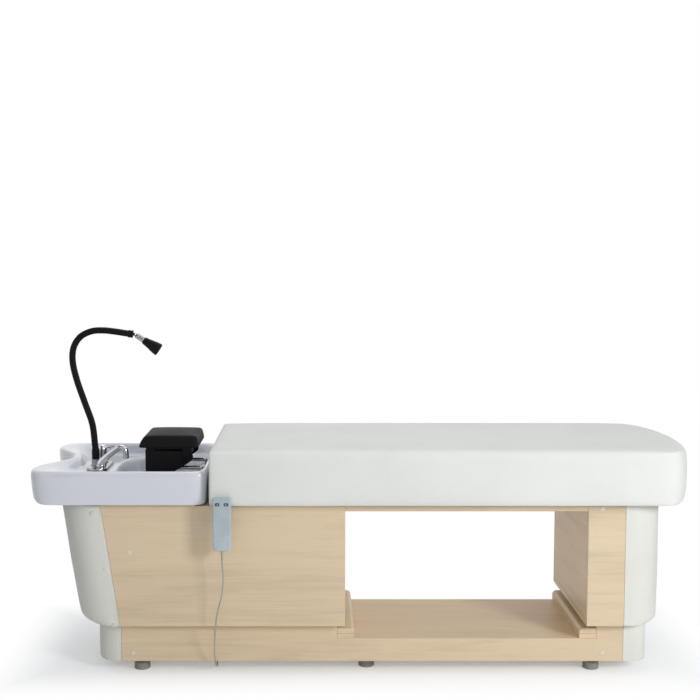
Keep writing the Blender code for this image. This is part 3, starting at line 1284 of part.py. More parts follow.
def make_handset():
    """The handset on its hanger, its two buttons, the strain relief, the cord and its gland."""
    arm_top = MATTRESS_BOTTOM - HANGER_DROP
    arm_low = arm_top - HANGER_STRIP
    panel = -BODY_HALF - SEAT_GAP
    hanger = [
        (panel, arm_low - HANGER_FLANGE),
        (panel, arm_top),
        (HANGER_FRONT + HANGER_STRIP, arm_top),
        (HANGER_FRONT + HANGER_STRIP, arm_top + HANGER_LIP),
        (HANGER_FRONT, arm_top + HANGER_LIP),
        (HANGER_FRONT, arm_low),
        (panel - HANGER_STRIP, arm_low),
        (panel - HANGER_STRIP, arm_low - HANGER_FLANGE),
    ]
    plate("handset_hanger", hanger, HANGER_WIDTH, HANDSET_X, FACING_X, STEEL, ease=0.0, metallic=1.0)

    half = HANDSET_WIDTH / 2
    case = [
        (HANDSET_X - half + HANDSET_CHAMFER, HANDSET_BOTTOM),
        (HANDSET_X + half - HANDSET_CHAMFER, HANDSET_BOTTOM),
        (HANDSET_X + half, HANDSET_BOTTOM + HANDSET_CHAMFER),
        (HANDSET_X + half, HANDSET_TOP - HANDSET_EDGE),
        (HANDSET_X + half - HANDSET_EDGE, HANDSET_TOP),
        (HANDSET_X - half + HANDSET_EDGE, HANDSET_TOP),
        (HANDSET_X - half, HANDSET_TOP - HANDSET_EDGE),
        (HANDSET_X - half, HANDSET_BOTTOM + HANDSET_CHAMFER),
    ]
    handset = as_mesh(
        plate("handset_case", case, HANDSET_DEPTH, CORD_EXIT_Y, FACING_Y, GREY_BLUE, ease=HANDSET_EDGE)
    )
    button_z = HANDSET_TOP - BUTTON_BELOW_TOP
    for label, x in (("out", HANDSET_X - BUTTON_SPREAD), ("in", HANDSET_X + BUTTON_SPREAD)):
        pocket = (BUTTON_WIDTH + 2 * RUN_GAP, 2 * BUTTON_POCKET, BUTTON_HEIGHT + 2 * RUN_GAP)
        combine(handset, box_mesh(pocket), (x, HANDSET_FRONT, button_z), "DIFFERENCE")
        owner = carrier("axis_button_" + label, (x, HANDSET_FRONT, button_z), BED)
        low = (x - BUTTON_WIDTH / 2, HANDSET_FRONT - BUTTON_PROUD, button_z - BUTTON_HEIGHT / 2)
        high = (x + BUTTON_WIDTH / 2, low[1] + BUTTON_DEPTH, button_z + BUTTON_HEIGHT / 2)
        board("button_" + label, low, high, DARK_GREY, owner, BUTTON_EDGE)

    relief_top = HANDSET_BOTTOM - SEAT_GAP
    add_part(
        "cord_relief",
        cylinder_mesh(CORD_RADIUS * 1.3, RELIEF_LENGTH, RELIEF_RADIUS, SMALL_ROUND_STEPS),
        (HANDSET_X, CORD_EXIT_Y, relief_top - RELIEF_LENGTH / 2),
        PALE_GREY,
    )
    tube("handset_cord", smooth_route(CORD_ROUTE, CORD_POINTS), CORD_RADIUS, PALE_GREY)
    end = CORD_ROUTE[-1]
    add_part(
        "cord_gland",
        cylinder_mesh(GLAND_RADIUS * 0.8, GLAND_HEIGHT, GLAND_RADIUS, SMALL_ROUND_STEPS),
        (end[0], end[1], FOOT_HEIGHT - SEAT_GAP - GLAND_HEIGHT / 2),
        DARK_GREY,
    )


def main():
    make_feet(make_plinth())
    make_carcass()
    make_mattress(carrier("axis_mattress", (DRIVE_X, 0.0, SLIDE_RAIL_TOP), BED))
    make_basin()
    make_plumbing()
    make_tap()
    make_spray()
    make_neck_rest()
    make_handset()
    bpy.context.view_layer.update()


main()
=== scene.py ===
"""Looks of the head-spa bed: upholstery, smooth fittings, materials, light and camera.

The CAD part is loaded as a fixed frame. Places below are given in the layout that the CAD part uses
(from the bay side of the head cabinet, the centre plane and the floor), in metres, and LAYOUT moves
them to the row frame.
"""

import json
import math

import bmesh
import bpy
from mathutils import Euler, Matrix, Vector, noise


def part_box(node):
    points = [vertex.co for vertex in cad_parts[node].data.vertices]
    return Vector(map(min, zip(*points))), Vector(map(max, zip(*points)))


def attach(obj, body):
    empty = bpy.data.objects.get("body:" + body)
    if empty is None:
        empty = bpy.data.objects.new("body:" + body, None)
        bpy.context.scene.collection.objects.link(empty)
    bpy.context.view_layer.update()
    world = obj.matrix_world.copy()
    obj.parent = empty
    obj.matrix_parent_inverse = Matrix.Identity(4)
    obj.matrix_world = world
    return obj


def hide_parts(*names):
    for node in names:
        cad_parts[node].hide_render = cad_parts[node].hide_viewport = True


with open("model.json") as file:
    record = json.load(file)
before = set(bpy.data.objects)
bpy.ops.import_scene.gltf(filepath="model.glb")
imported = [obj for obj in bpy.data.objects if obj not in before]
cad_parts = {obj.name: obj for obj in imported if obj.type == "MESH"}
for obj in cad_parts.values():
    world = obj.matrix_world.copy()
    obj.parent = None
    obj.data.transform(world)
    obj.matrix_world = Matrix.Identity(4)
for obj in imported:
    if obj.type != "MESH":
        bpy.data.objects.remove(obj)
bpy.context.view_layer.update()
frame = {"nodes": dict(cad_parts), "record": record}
NODES = frame["nodes"]
SCENE = bpy.context.scene
LAYOUT = Vector((-0.0625, 0.01345, 0.0))

# Sizes of the CAD part that the pieces repeat
GAP = 0.0003
CARCASS_BOTTOM = 0.1713
CARCASS_TOP = 0.5653
BODY_HALF = 0.2525
PLINTH_HALF = 0.209
PLINTH_TOP = 0.171
FOOT_HEIGHT = 0.040
CABINET_HEAD = -0.725
UPRIGHT_END = 0.898
PLINTH_HEAD = -0.7295
PLINTH_FOOT = 0.909
HEAD_LEAN = math.radians(8.5)
MATTRESS_HEAD = -0.434
MATTRESS_FOOT = 1.135
MATTRESS_HALF = 0.305
MATTRESS_BOTTOM = 0.573
MATTRESS_TOP = 0.749
MATTRESS_WRAP = 0.0155
BOARD_INSET = 0.055
FOOT_BOW = 0.050
LEDGE_TOP = 0.640
RIM_TOP = 0.680
BASIN_BOTTOM = 0.5715
BOWL_BOTTOM = 0.500
BASIN_HEAD = -1.015
BASIN_FOOT = -0.440
BASIN_HALF = 0.282
BASIN_WALL = 0.008
LEDGE_HEAD = -0.8845
LEDGE_FOOT = -0.464
LEDGE_HALF = 0.243
BOWL_HEAD = -0.7745
BOWL_FOOT = -0.497
BOWL_HALF = 0.225
BOWL_MIDDLE = (BOWL_HEAD + BOWL_FOOT) / 2
TAP_X = -0.830
TAP_PLATE_TOP = 0.6523
HANDSET_X = -0.389
HANDSET_BOTTOM = 0.437
HANDSET_TOP = 0.6075
HANDSET_FRONT = -0.3303
HANDSET_BACK = -0.3103


# Camera

camera_data = bpy.data.cameras.new("camera")
camera_data.sensor_width = 36.0
camera_data.lens = 57.6
camera_data.shift_x = 0.0503
camera_data.shift_y = -0.0143
camera = bpy.data.objects.new("camera", camera_data)
camera.location = Vector((-0.0977, -3.7791, 1.3686)) + LAYOUT
camera.rotation_euler = (math.pi / 2 - 0.0769, 0.0, 0.0)
SCENE.collection.objects.link(camera)
SCENE.camera = camera


# Materials


def add_node(tree, kind, inputs, output, **settings):
    """A shader node with its inputs set or linked; gives one of its outputs."""
    made = tree.nodes.new("ShaderNode" + kind)
    for label, value in settings.items():
        setattr(made, label, value)
    for key, value in inputs.items():
        if isinstance(value, bpy.types.NodeSocket):
            tree.links.new(value, made.inputs[key])
        else:
            made.inputs[key].default_value = value
    return made.outputs[output]


class Finish:
    """A material being put together from nodes."""

    def __init__(self, name):
        self.material = bpy.data.materials.new(name)
        self.material.use_nodes = True
        self.tree = self.material.node_tree
        self.shader = self.tree.nodes["Principled BSDF"]
        self.place = self.add("TexCoord", {}, "Object")

    def add(self, kind, inputs, output, **settings):
        return add_node(self.tree, kind, inputs, output, **settings)

    def plain(self, **values):
        """Set the shader's own sockets."""
        for label, value in values.items():
            self.shader.inputs[label.replace("_", " ")].default_value = value

    def stretched(self, scale):
        """The place on the piece, with each axis scaled."""
        return self.add("Mapping", {"Scale": scale, "Vector": self.place}, "Vector")

    def noise(self, scale, detail=3.0, rough=0.5, place=None, distortion=0.0):
        inputs = {"Scale": scale, "Detail": detail, "Roughness": rough, "Distortion": distortion}
        return self.add("TexNoise", {**inputs, "Vector": place or self.place}, "Fac")

    def cells(self, scale):
        inputs = {"Scale": scale, "Vector": self.place}
        return self.add("TexVoronoi", inputs, "Distance", feature="SMOOTH_F1")

    def ramp(self, value, stops):
        """Colours for a value, from (position, colour) pairs."""
        colours = self.add("ValToRGB", {"Fac": value}, "Color")
        elements = colours.node.color_ramp.elements
        while len(elements) < len(stops):
            elements.new(0.5)
        for element, (position, colour) in zip(elements, stops):
            element.position = position
            element.color = (*colour, 1.0)
        return colours

    def span(self, value, low, high, new_low, new_high):
        """Move a value from one range to another."""
        ends = {"From Min": low, "From Max": high, "To Min": new_low, "To Max": new_high}
        return self.add("MapRange", {**ends, "Value": value}, "Result")

    def blend(self, share, first, second):
        """Colours with a share of one fixed colour mixed in."""
        return self.add("Mix", {0: share, 6: first, 7: (*second, 1.0)}, 2, data_type="RGBA")

    def sum(self, first, second, share):
        """First plus a share of second."""
        return self.add("Math", {0: second, 1: share, 2: first}, "Value", operation="MULTIPLY_ADD")

    def colour(self, socket):
        self.tree.links.new(socket, self.shader.inputs["Base Color"])

    def roughness(self, socket):
        self.tree.links.new(socket, self.shader.inputs["Roughness"])

    def bump(self, height, strength, distance):
        inputs = {"Height": height, "Strength": strength, "Distance": distance}
        self.tree.links.new(self.add("Bump", inputs, "Normal"), self.shader.inputs["Normal"])


def tinted(colour, share):
    return tuple(channel * share for channel in colour)


def along_axis(axis, slow, fast):
    """Scales that draw a texture out along one axis."""
    return [slow if index == axis else fast for index in range(3)]


def laminate(name, grain, tone):
    """Satin maple laminate: long pale bands, fine fibres and a few short dark pores along one axis."""
    made = Finish(name)
    bands = made.noise(1.0, 4.0, 0.55, made.stretched(along_axis(grain, 0.9, 9.0)), 0.9)
    fibres = made.noise(1.0, 4.0, 0.6, made.stretched(along_axis(grain, 5.0, 170.0)), 0.2)
    pores = made.noise(1.0, 2.0, 0.5, made.stretched(along_axis(grain, 16.0, 520.0)))
    shades = [(0.46, 0.88), (0.60, 1.0), (0.73, 1.05), (0.90, 0.94)]
    figure = made.sum(bands, fibres, 0.36)
    wood = made.ramp(figure, [(position, tinted(tone, shade)) for position, shade in shades])
    flecks = made.span(pores, 0.66, 0.74, 0.0, 0.35)
    made.colour(made.blend(flecks, wood, tinted(tone, 0.72)))
    made.roughness(made.span(fibres, 0.3, 0.7, 0.46, 0.36))
    made.bump(made.sum(fibres, pores, -0.5), 0.12, 0.0003)
    made.plain(Specular_IOR_Level=0.4)
    return made.material


def leatherette(name, tone, roughness, sheen, gloss):
    """Soft coated cloth: pebble grain, faint creases, a slow drift of tone and painted shade in the
    grain's valleys.
    """
    made = Finish(name)
    drift = made.noise(3.2, 3.0, 0.55)
    fine = made.noise(85.0, 3.0, 0.6)
    stops = [(0.40, tinted(tone, 0.965)), (0.62, tone), (0.85, tinted(tone, 1.03))]
    tones = made.ramp(made.sum(drift, fine, 0.25), stops)
    pebbles = made.cells(620.0)
    # painted shade: the colour darkens in the pebble grain's valleys, where the bump sinks
    valley_shade = made.span(pebbles, 0.35, 0.75, 0.0, 0.16)
    made.colour(made.blend(valley_shade, tones, tinted(tone, 0.80)))
    creases = made.noise(240.0, 2.0, 0.5)
    made.roughness(made.span(pebbles, 0.2, 0.7, roughness - 0.05, roughness + 0.08))
    made.bump(made.sum(creases, pebbles, -1.4), 0.22, 0.0004)
    made.plain(Sheen_Weight=sheen, Sheen_Roughness=0.4, Specular_IOR_Level=gloss)
    return made.material


def glaze(name, tone):
    """Fired glaze: deep gloss with a slow waviness and faint drifts of tone."""
    made = Finish(name)
    drift = made.noise(5.0, 3.0, 0.5)
    made.colour(made.ramp(drift, [(0.35, tinted(tone, 0.97)), (0.65, tone)]))
    specks = made.noise(900.0, 1.0)
    made.roughness(made.span(made.sum(drift, specks, 0.3), 0.4, 0.9, 0.07, 0.14))
    made.bump(made.noise(28.0, 2.0), 0.10, 0.0015)
    made.plain(Coat_Weight=0.5, Coat_Roughness=0.03, Specular_IOR_Level=0.55)
    return made.material


def metal(name, tone, roughness, brushed=None):
    """Bright metal: wiped smears in its polish, or brush lines along one axis."""
    made = Finish(name)
    smears = made.noise(46.0, 4.0, 0.6, distortion=1.2)
    made.colour(made.ramp(smears, [(0.3, tinted(tone, 0.95)), (0.7, tone)]))
    if brushed is None:
        made.roughness(made.span(smears, 0.3, 0.75, roughness, roughness + 0.05))
    else:
        lines = made.noise(1.0, 3.0, 0.6, made.stretched(along_axis(brushed, 9.0, 900.0)))
        made.roughness(made.span(lines, 0.3, 0.7, roughness - 0.06, roughness + 0.12))
        made.bump(lines, 0.15, 0.0002)
    made.plain(Metallic=1.0)
    return made.material


def moulded(name, tone, roughness, pitch, gloss=0.5):
    """Moulded plastic with a fine spark texture and slight shine where it is handled."""
    made = Finish(name)
    grain = made.noise(pitch, 2.0, 0.6)
    drift = made.noise(14.0, 3.0, 0.55)
    stops = [(0.42, tinted(tone, 0.90)), (0.85, tinted(tone, 1.08))]
    made.colour(made.ramp(made.sum(drift, grain, 0.3), stops))
    made.roughness(made.span(drift, 0.3, 0.7, roughness - 0.06, roughness + 0.06))
    made.bump(grain, 0.20, 0.00025)
    made.plain(Specular_IOR_Level=gloss)
    return made.material


def woven(name, tone, roughness, pitch, metallic=0.0, gloss=0.5):
    """A fine braided sleeve: two sets of slanted strands, with painted shade darker where the strands sink
    and lighter on their crests.
    """
    made = Finish(name)
    waves = []
    for slant in (1.0, -1.0):
        inputs = {"Scale": pitch, "Distortion": 0.4, "Vector": made.stretched((slant, 1.0, 1.0))}
        waves.append(made.add("TexWave", inputs, "Fac", bands_direction="DIAGONAL"))
    strands = made.sum(waves[0], waves[1], 1.0)
    # painted shade: darker where the strands are low, lighter on their crests
    stops = [(0.2, tinted(tone, 0.7)), (0.8, tinted(tone, 1.1))]
    made.colour(made.ramp(made.span(strands, 0.0, 2.0, 0.0, 1.0), stops))
    made.roughness(made.span(strands, 0.0, 2.0, roughness + 0.08, roughness - 0.06))
    made.bump(strands, 0.25, 0.0003)
    made.plain(Metallic=metallic, Specular_IOR_Level=gloss)
    return made.material


MAPLE = (0.77, 0.62, 0.43)
JET = (0.007, 0.007, 0.0075)
STEEL = (0.56, 0.57, 0.58)
WOOD_X = laminate("maple_along", 0, MAPLE)
WOOD_Y = laminate("maple_across", 1, MAPLE)
IVORY = leatherette("ivory_leatherette", (0.84, 0.86, 0.825), 0.60, 0.08, 0.22)
PAD_IVORY = leatherette("pad_leatherette", (0.81, 0.82, 0.760), 0.60, 0.08, 0.22)
BLACK_HIDE = leatherette("black_leatherette", JET, 0.55, 0.02, 0.12)
GLAZE = glaze("white_glaze", (0.75, 0.78, 0.84))
CHROME = metal("chrome", (0.62, 0.63, 0.65), 0.05)
SATIN = metal("satin_chrome", (0.40, 0.41, 0.42), 0.16)
STEEL_X = metal("steel_along", STEEL, 0.30, 0)
STEEL_Z = metal("steel_upright", STEEL, 0.30, 2)
BLACK = moulded("black_plastic", JET, 0.46, 1400.0, 0.12)
SLEEVE = woven("black_sleeve", JET, 0.55, 260.0, 0.0, 0.12)
DARK = moulded("dark_plastic", (0.10, 0.105, 0.105), 0.50, 1200.0)
FOOT_GREY = moulded("foot_grey", (0.29, 0.295, 0.265), 0.55, 1200.0)
SHELL = moulded("handset_shell", (0.49, 0.58, 0.62), 0.42, 1600.0)
NAVY = moulded("button_navy", (0.035, 0.060, 0.11), 0.40, 1600.0)
SHEATH = moulded("grey_sheath", (0.44, 0.42, 0.39), 0.50, 900.0)
BRAID = woven("braided_steel", STEEL, 0.35, 180.0, 0.7)
CAP = moulded("screw_cover", (0.78, 0.74, 0.64), 0.45, 900.0)


# Shapes


def to_object(name, shape, crease_angle=40.0):
    """A mesh object from a bmesh in the layout, smooth apart from edges sharper than an angle."""
    bmesh.ops.recalc_face_normals(shape, faces=shape.faces)
    mesh = bpy.data.meshes.new(name)
    shape.to_mesh(mesh)
    shape.free()
    mesh.transform(Matrix.Translation(LAYOUT))
    mesh.shade_smooth()
    mesh.set_sharp_from_angle(angle=math.radians(crease_angle))
    made = bpy.data.objects.new(name, mesh)
    SCENE.collection.objects.link(made)
    return made


def dress(piece, body, slot, material, *nodes):
    """Give a piece its material, its body and the CAD nodes that it stands for; the slot is not used."""
    piece.data.materials.append(material)
    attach(piece, body)
    if nodes:
        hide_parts(*nodes)
    return piece


def settle(piece):
    """Apply a piece's modifiers to its mesh."""
    bpy.context.view_layer.update()
    evaluated = piece.evaluated_get(bpy.context.evaluated_depsgraph_get())
    applied = bpy.data.meshes.new_from_object(evaluated)
    applied.name = piece.name
    piece.modifiers.clear()
    piece.data = applied
    return piece


def subdivide(piece, levels):
    modifier = piece.modifiers.new("smooth", "SUBSURF")
    modifier.levels = levels
    modifier.render_levels = levels
    return settle(piece)


def skin(shape, loops, ring_closed=False):
    """Faces between loops of vertices that go round the piece; it joins up, or gets end faces."""
    count = len(loops[0])
    pairs = list(zip(loops, loops[1:]))
    if ring_closed:
        pairs.append((loops[-1], loops[0]))
    for lower, upper in pairs:
        for here in range(count):
            there = (here + 1) % count
            shape.faces.new((lower[here], lower[there], upper[there], upper[here]))
    if not ring_closed:
        shape.faces.new(list(reversed(loops[0])))
        shape.faces.new(loops[-1])


def around(radius, count):
    """Points round a level circle."""
    angles = [2 * math.pi * step / count for step in range(count)]
    return [Vector((radius * math.cos(angle), radius * math.sin(angle), 0.0)) for angle in angles]


def lathe(shape, profile, place, turn=None, steps=48):
    """A turned form, from (radius, height) pairs going up; it is closed at both ends."""
    matrix = Matrix.Translation(place)
    if turn is not None:
        matrix = matrix @ turn.to_matrix().to_4x4()
    loops = []
    for radius, height in profile:
        level = Vector((0.0, 0.0, height))
        loops.append([shape.verts.new(matrix @ (spot + level)) for spot in around(radius, steps)])
    skin(shape, loops)


def rounded_profile(sections, edge, steps=4):
    """A profile with its outer corners rounded, from (radius, height) pairs going up."""
    points = [Vector(section) for section in sections]
    rounded = [points[0]]
    for before, here, after in zip(points, points[1:], points[2:]):
        reach = min(edge, (before - here).length / 2, (after - here).length / 2)
        start = here + (before - here).normalized() * reach
        end = here + (after - here).normalized() * reach
        for step in range(steps + 1):
            t = step / steps
            rounded.append(start * (1 - t) ** 2 + here * 2 * t * (1 - t) + end * t**2)
    rounded.append(points[-1])
    return [(point.x, point.y) for point in rounded]


def smooth_route(points, count):
    """Even points on a smooth curve through a route."""
    knots = [Vector(point) for point in points]
    knots = [knots[0] * 2 - knots[1], *knots, knots[-1] * 2 - knots[-2]]
    fine = []
    for before, start, end, after in zip(knots, knots[1:], knots[2:], knots[3:]):
        for step in range(24):
            t = step / 24
            bend = (before * -1 + start * 3 - end * 3 + after) * t**3
            pull = (before * 2 - start * 5 + end * 4 - after) * t**2
            fine.append((start * 2 + (end - before) * t + pull + bend) / 2)
    fine.append(knots[-2])
    along = [0.0]
    for here, there in zip(fine, fine[1:]):
        along.append(along[-1] + (there - here).length)
    even = []
    index = 0
    for step in range(count):
        wanted = along[-1] * step / (count - 1)
        while index < len(fine) - 2 and along[index + 1] < wanted:
            index += 1
        share = (wanted - along[index]) / (along[index + 1] - along[index])
        even.append(fine[index].lerp(fine[index + 1], min(share, 1.0)))
    return even


def sweep(shape, points, radius, steps=24):
    """A round tube along points; radius gives its size from the share of the way."""
    points = [Vector(point) for point in points]
    last = len(points) - 1
    forward = (points[1] - points[0]).normalized()
    side = forward.orthogonal().normalized()
    loops = []
    for index, point in enumerate(points):
        ahead = (points[min(index + 1, last)] - points[max(index - 1, 0)]).normalized()
        side = (forward.rotation_difference(ahead) @ side).normalized()
        forward = ahead
        up = forward.cross(side)
        ring = around(radius(index / last), steps)
        loops.append([shape.verts.new(point + side * spot.x + up * spot.y) for spot in ring])
    skin(shape, loops)


def rounded_outline(corners, inset, radius, steps=6):
    """Points round a convex outline of (u, v) corners, moved inwards and rounded at the corners."""
    count = len(corners)
    moved = []
    for index in range(count):
        before, here, after = (Vector(corners[(index + step) % count]) for step in (-1, 0, 1))
        first, second = (here - before).normalized(), (after - here).normalized()
        first_in, second_in = Vector((-first.y, first.x)), Vector((-second.y, second.x))
        moved.append(here + (first_in + second_in) * (inset / (1.0 + first_in.dot(second_in))))
    points = []
    for index in range(count):
        before, here, after = (moved[(index + step) % count] for step in (-1, 0, 1))
        back, on = (before - here).normalized(), (after - here).normalized()
        half = back.angle(on) / 2
        room = 0.49 * min((before - here).length, (after - here).length)
        cut = min(max(radius - inset, 0.0003) / math.tan(half), room)
        centre = here + (back + on).normalized() * (cut / math.cos(half))
        start = here + back * cut - centre
        for step in range(steps + 1):
            points.append(centre + Matrix.Rotation((math.pi - 2 * half) * step / steps, 2) @ start)
    return points


def slab(shape, corners, radius, levels, place):
    """A flat piece with rounded corners; levels hold (inset, height), place maps (u, v, height)."""
    loops = []
    for inset, height in levels:
        outline = rounded_outline(corners, inset, radius)
        loops.append([shape.verts.new(place(point.x, point.y, height)) for point in outline])
    skin(shape, loops)


def eased(low, high, edge, steps=4):
    """Levels of a slab from low to high with rounded edges at both faces."""
    angles = [math.pi / 2 * step / steps for step in range(steps + 1)]
    lower = [(edge * (1 - math.sin(angle)), low + edge * (1 - math.cos(angle))) for angle in angles]
    upper = [(edge * (1 - math.cos(angle)), high - edge * (1 - math.sin(angle))) for angle in angles]
    return lower + upper


def box_shape(low, high):
    shape = bmesh.new()
    bmesh.ops.create_cube(shape, size=1.0)
    bmesh.ops.scale(shape, vec=Vector(high) - Vector(low), verts=shape.verts)
    bmesh.ops.translate(shape, vec=(Vector(high) + Vector(low)) / 2, verts=shape.verts)
    return shape


def softened(name, node, width):
    """A copy of a CAD node with its edges rounded."""
    shape = bmesh.new()
    shape.from_mesh(NODES[node].data)
    bmesh.ops.remove_doubles(shape, verts=shape.verts, dist=0.00002)
    bmesh.ops.dissolve_limit(shape, angle_limit=0.01, verts=shape.verts, edges=shape.edges)
    bmesh.ops.translate(shape, vec=-LAYOUT, verts=shape.verts)
    made = to_object(name, shape, 180.0)
    bevel = made.modifiers.new("edges", "BEVEL")
    bevel.width = width
    bevel.segments = 3
    bevel.limit_method = "ANGLE"
    bevel.angle_limit = math.radians(35.0)
    settle(made)
    made.data.set_sharp_from_angle(angle=math.radians(40.0))
    return made


def setback(distance, rounding):
    """How far a rounded edge stands back, at a distance from the side that it rounds into."""
    inside = min(max(rounding - distance, 0.0), rounding)
    return rounding - math.sqrt(rounding**2 - inside**2)


# Handset cord

CORD_EXIT_Y = (HANDSET_BACK + HANDSET_FRONT) / 2
RELIEF_LENGTH = 0.030
RELIEF_RADIUS = 0.0048
RELIEF_RINGS = 9
CORD_TOP = HANDSET_BOTTOM - 2 * GAP - RELIEF_LENGTH
CORD_RADIUS = 0.0025
CORD_ROUTE = (
    (HANDSET_X, CORD_EXIT_Y, CORD_TOP),
    (-0.389, CORD_EXIT_Y, 0.388),
    (-0.386, -0.3185, 0.356),
    (-0.388, -0.315, 0.318),
    (-0.394, -0.308, 0.279),
    (-0.406, -0.298, 0.235),
    (-0.4145, -0.285, 0.182),
    (-0.4185, -0.270, 0.137),
    (-0.421, -0.252, 0.088),
    (-0.421, -0.2265, 0.047),
    (-0.421, -0.200, 0.0255),
    (-0.421, -0.176, 0.0125),
    (-0.421, -0.156, 0.0085),
    (-0.421, -0.146, 0.0190),
    (-0.421, -0.146, 0.0265),
    (-0.421, -0.146, 0.0334),
)


def make_cord():
    """The thin grey cord from the handset's strain relief to the gland under the plinth."""
    points = [point + LAYOUT for point in smooth_route(CORD_ROUTE, 36)]
    curve = bpy.data.curves.new("handset_lead", "CURVE")
    curve.dimensions = "3D"
    curve.bevel_depth = CORD_RADIUS
    curve.bevel_resolution = 5
    curve.resolution_u = 4
    curve.use_fill_caps = True
    spline = curve.splines.new("POLY")
    spline.points.add(len(points) - 1)
    for spot, point in zip(spline.points, points):
        spot.co = (*point, 1.0)
    spline.use_smooth = True
    lead = bpy.data.objects.new("handset_lead", curve)
    SCENE.collection.objects.link(lead)
    dress(lead, "bed", "grey_sheath", SHEATH, "handset_cord")
    relief = make_relief()


def make_relief():
    """The tapered, ribbed strain relief under the handset, and the gland that the cord goes into."""
    top = HANDSET_BOTTOM - GAP
    bottom = top - RELIEF_LENGTH
    thin = CORD_RADIUS * 1.3
    step = RELIEF_LENGTH / RELIEF_RINGS
    groove = 0.0004
    profile = [(CORD_RADIUS * 0.6, bottom)]
    for ring in range(RELIEF_RINGS):
        share = ring / RELIEF_RINGS
        radius = thin + (RELIEF_RADIUS - thin) * share
        height = bottom + RELIEF_LENGTH * share
        profile += [(radius, height), (radius, height + step * 0.55)]
        profile += [(radius - groove, height + step * 0.65), (radius - groove, height + step * 0.95)]
    profile += [(RELIEF_RADIUS, top), (0.001, top)]
    shape = bmesh.new()
    lathe(shape, profile, (HANDSET_X, CORD_EXIT_Y, 0.0), steps=24)
    relief = dress(to_object("strain_relief", shape), "bed", "grey_sheath", SHEATH, "cord_relief")

    base = FOOT_HEIGHT - GAP
    gland = [(0.001, -0.006), (0.0062, -0.006), (0.008, -0.001), (0.008, 0.0), (0.001, 0.0)]
    profile = rounded_profile([(radius, base + height) for radius, height in gland], 0.0008)
    shape = bmesh.new()
    lathe(shape, profile, (*CORD_ROUTE[-1][:2], 0.0), steps=24)
    dress(to_object("lead_gland", shape), "bed", "dark_plastic", DARK, "cord_gland")
    return relief


# Upholstery

SWELL_FRAMES = 3


def spaced(low, high, low_edge, high_edge, count):
    """Loop places on one side of a cage: one near each end and the rest evenly between."""
    start, end = low + low_edge, high - high_edge
    return [start + (end - start) * step / (count - 1) for step in range(count)]


def cover(name, low, high, loops, shape_point, sharp_edge=None):
    """A soft form: a box cage with loop cuts, moved by shape_point and subdivided."""
    cage = box_shape(low, high)
    for axis, places in enumerate(loops):
        normal = Vector(along_axis(axis, 1.0, 0.0))
        for place in places:
            everything = cage.verts[:] + cage.edges[:] + cage.faces[:]
            bmesh.ops.bisect_plane(cage, geom=everything, plane_co=normal * place, plane_no=normal)
    if sharp_edge is not None:
        crease = cage.edges.layers.float.new("crease_edge")
        for edge in cage.edges:
            if all(sharp_edge(vertex.co) for vertex in edge.verts):
                edge[crease] = 1.0
    for vertex in cage.verts:
        vertex.co = shape_point(vertex.co.copy())
    return subdivide(to_object(name, cage), 3)


def inflate(piece, held, cap, pressure, shrink):
    """Draw a cover in, then swell it with Cloth; no point ends further from its start than the cap."""
    mesh = piece.data
    for vertex in mesh.vertices:
        if not held(vertex.co - LAYOUT):
            vertex.co -= vertex.normal * shrink
    start = [vertex.co.copy() for vertex in mesh.vertices]
    group = piece.vertex_groups.new(name="held")
    group.add([index for index, point in enumerate(start) if held(point - LAYOUT)], 1.0, "REPLACE")
    cloth = piece.modifiers.new("swell", "CLOTH")
    settings = cloth.settings
    settings.quality = 5
    settings.mass = 0.35
    settings.tension_stiffness = 12.0
    settings.compression_stiffness = 12.0
    settings.shear_stiffness = 6.0
    settings.bending_stiffness = 2.0
    settings.use_pressure = True
    settings.uniform_pressure_force = pressure
    settings.vertex_group_mass = "held"
    settings.effector_weights.gravity = 0.0
    for step in range(1, SWELL_FRAMES + 1):
        SCENE.frame_set(step)
    evaluated = piece.evaluated_get(bpy.context.evaluated_depsgraph_get())
    swollen = [vertex.co.copy() for vertex in evaluated.data.vertices]
    piece.modifiers.remove(cloth)
    piece.vertex_groups.clear()
    SCENE.frame_set(1)
    for vertex, begin, end in zip(mesh.vertices, start, swollen):
        move = end - begin
        if move.length > 1e-7:
            vertex.co = begin + move * (cap * math.tanh(move.length / cap) / move.length)


def ripple(piece, held, size, height):
    """Faint unevenness of the foam under a cover."""
    for vertex in piece.data.vertices:
        point = vertex.co - LAYOUT
        if not held(point):
            vertex.co += vertex.normal * height * noise.noise(point / size)


def upholster(piece, body, slot, material, node, held, swell):
    """Swell a cover by (cap, pressure, shrink), and dress it."""
    inflate(piece, held, *swell)
    ripple(piece, held, 0.09, 0.0006)
    piece.data.shade_smooth()
    dress(piece, body, slot, material, node)


def hollow(piece, low, high):
    """Cut a box-shaped recess into a piece."""
    cutter = to_object("recess", box_shape(low, high))
    cut = piece.modifiers.new("recess", "BOOLEAN")
    cut.operation = "DIFFERENCE"
    cut.object = cutter
    settle(piece)
    bpy.data.objects.remove(cutter, do_unlink=True)
    piece.data.set_sharp_from_angle(angle=math.radians(60.0))


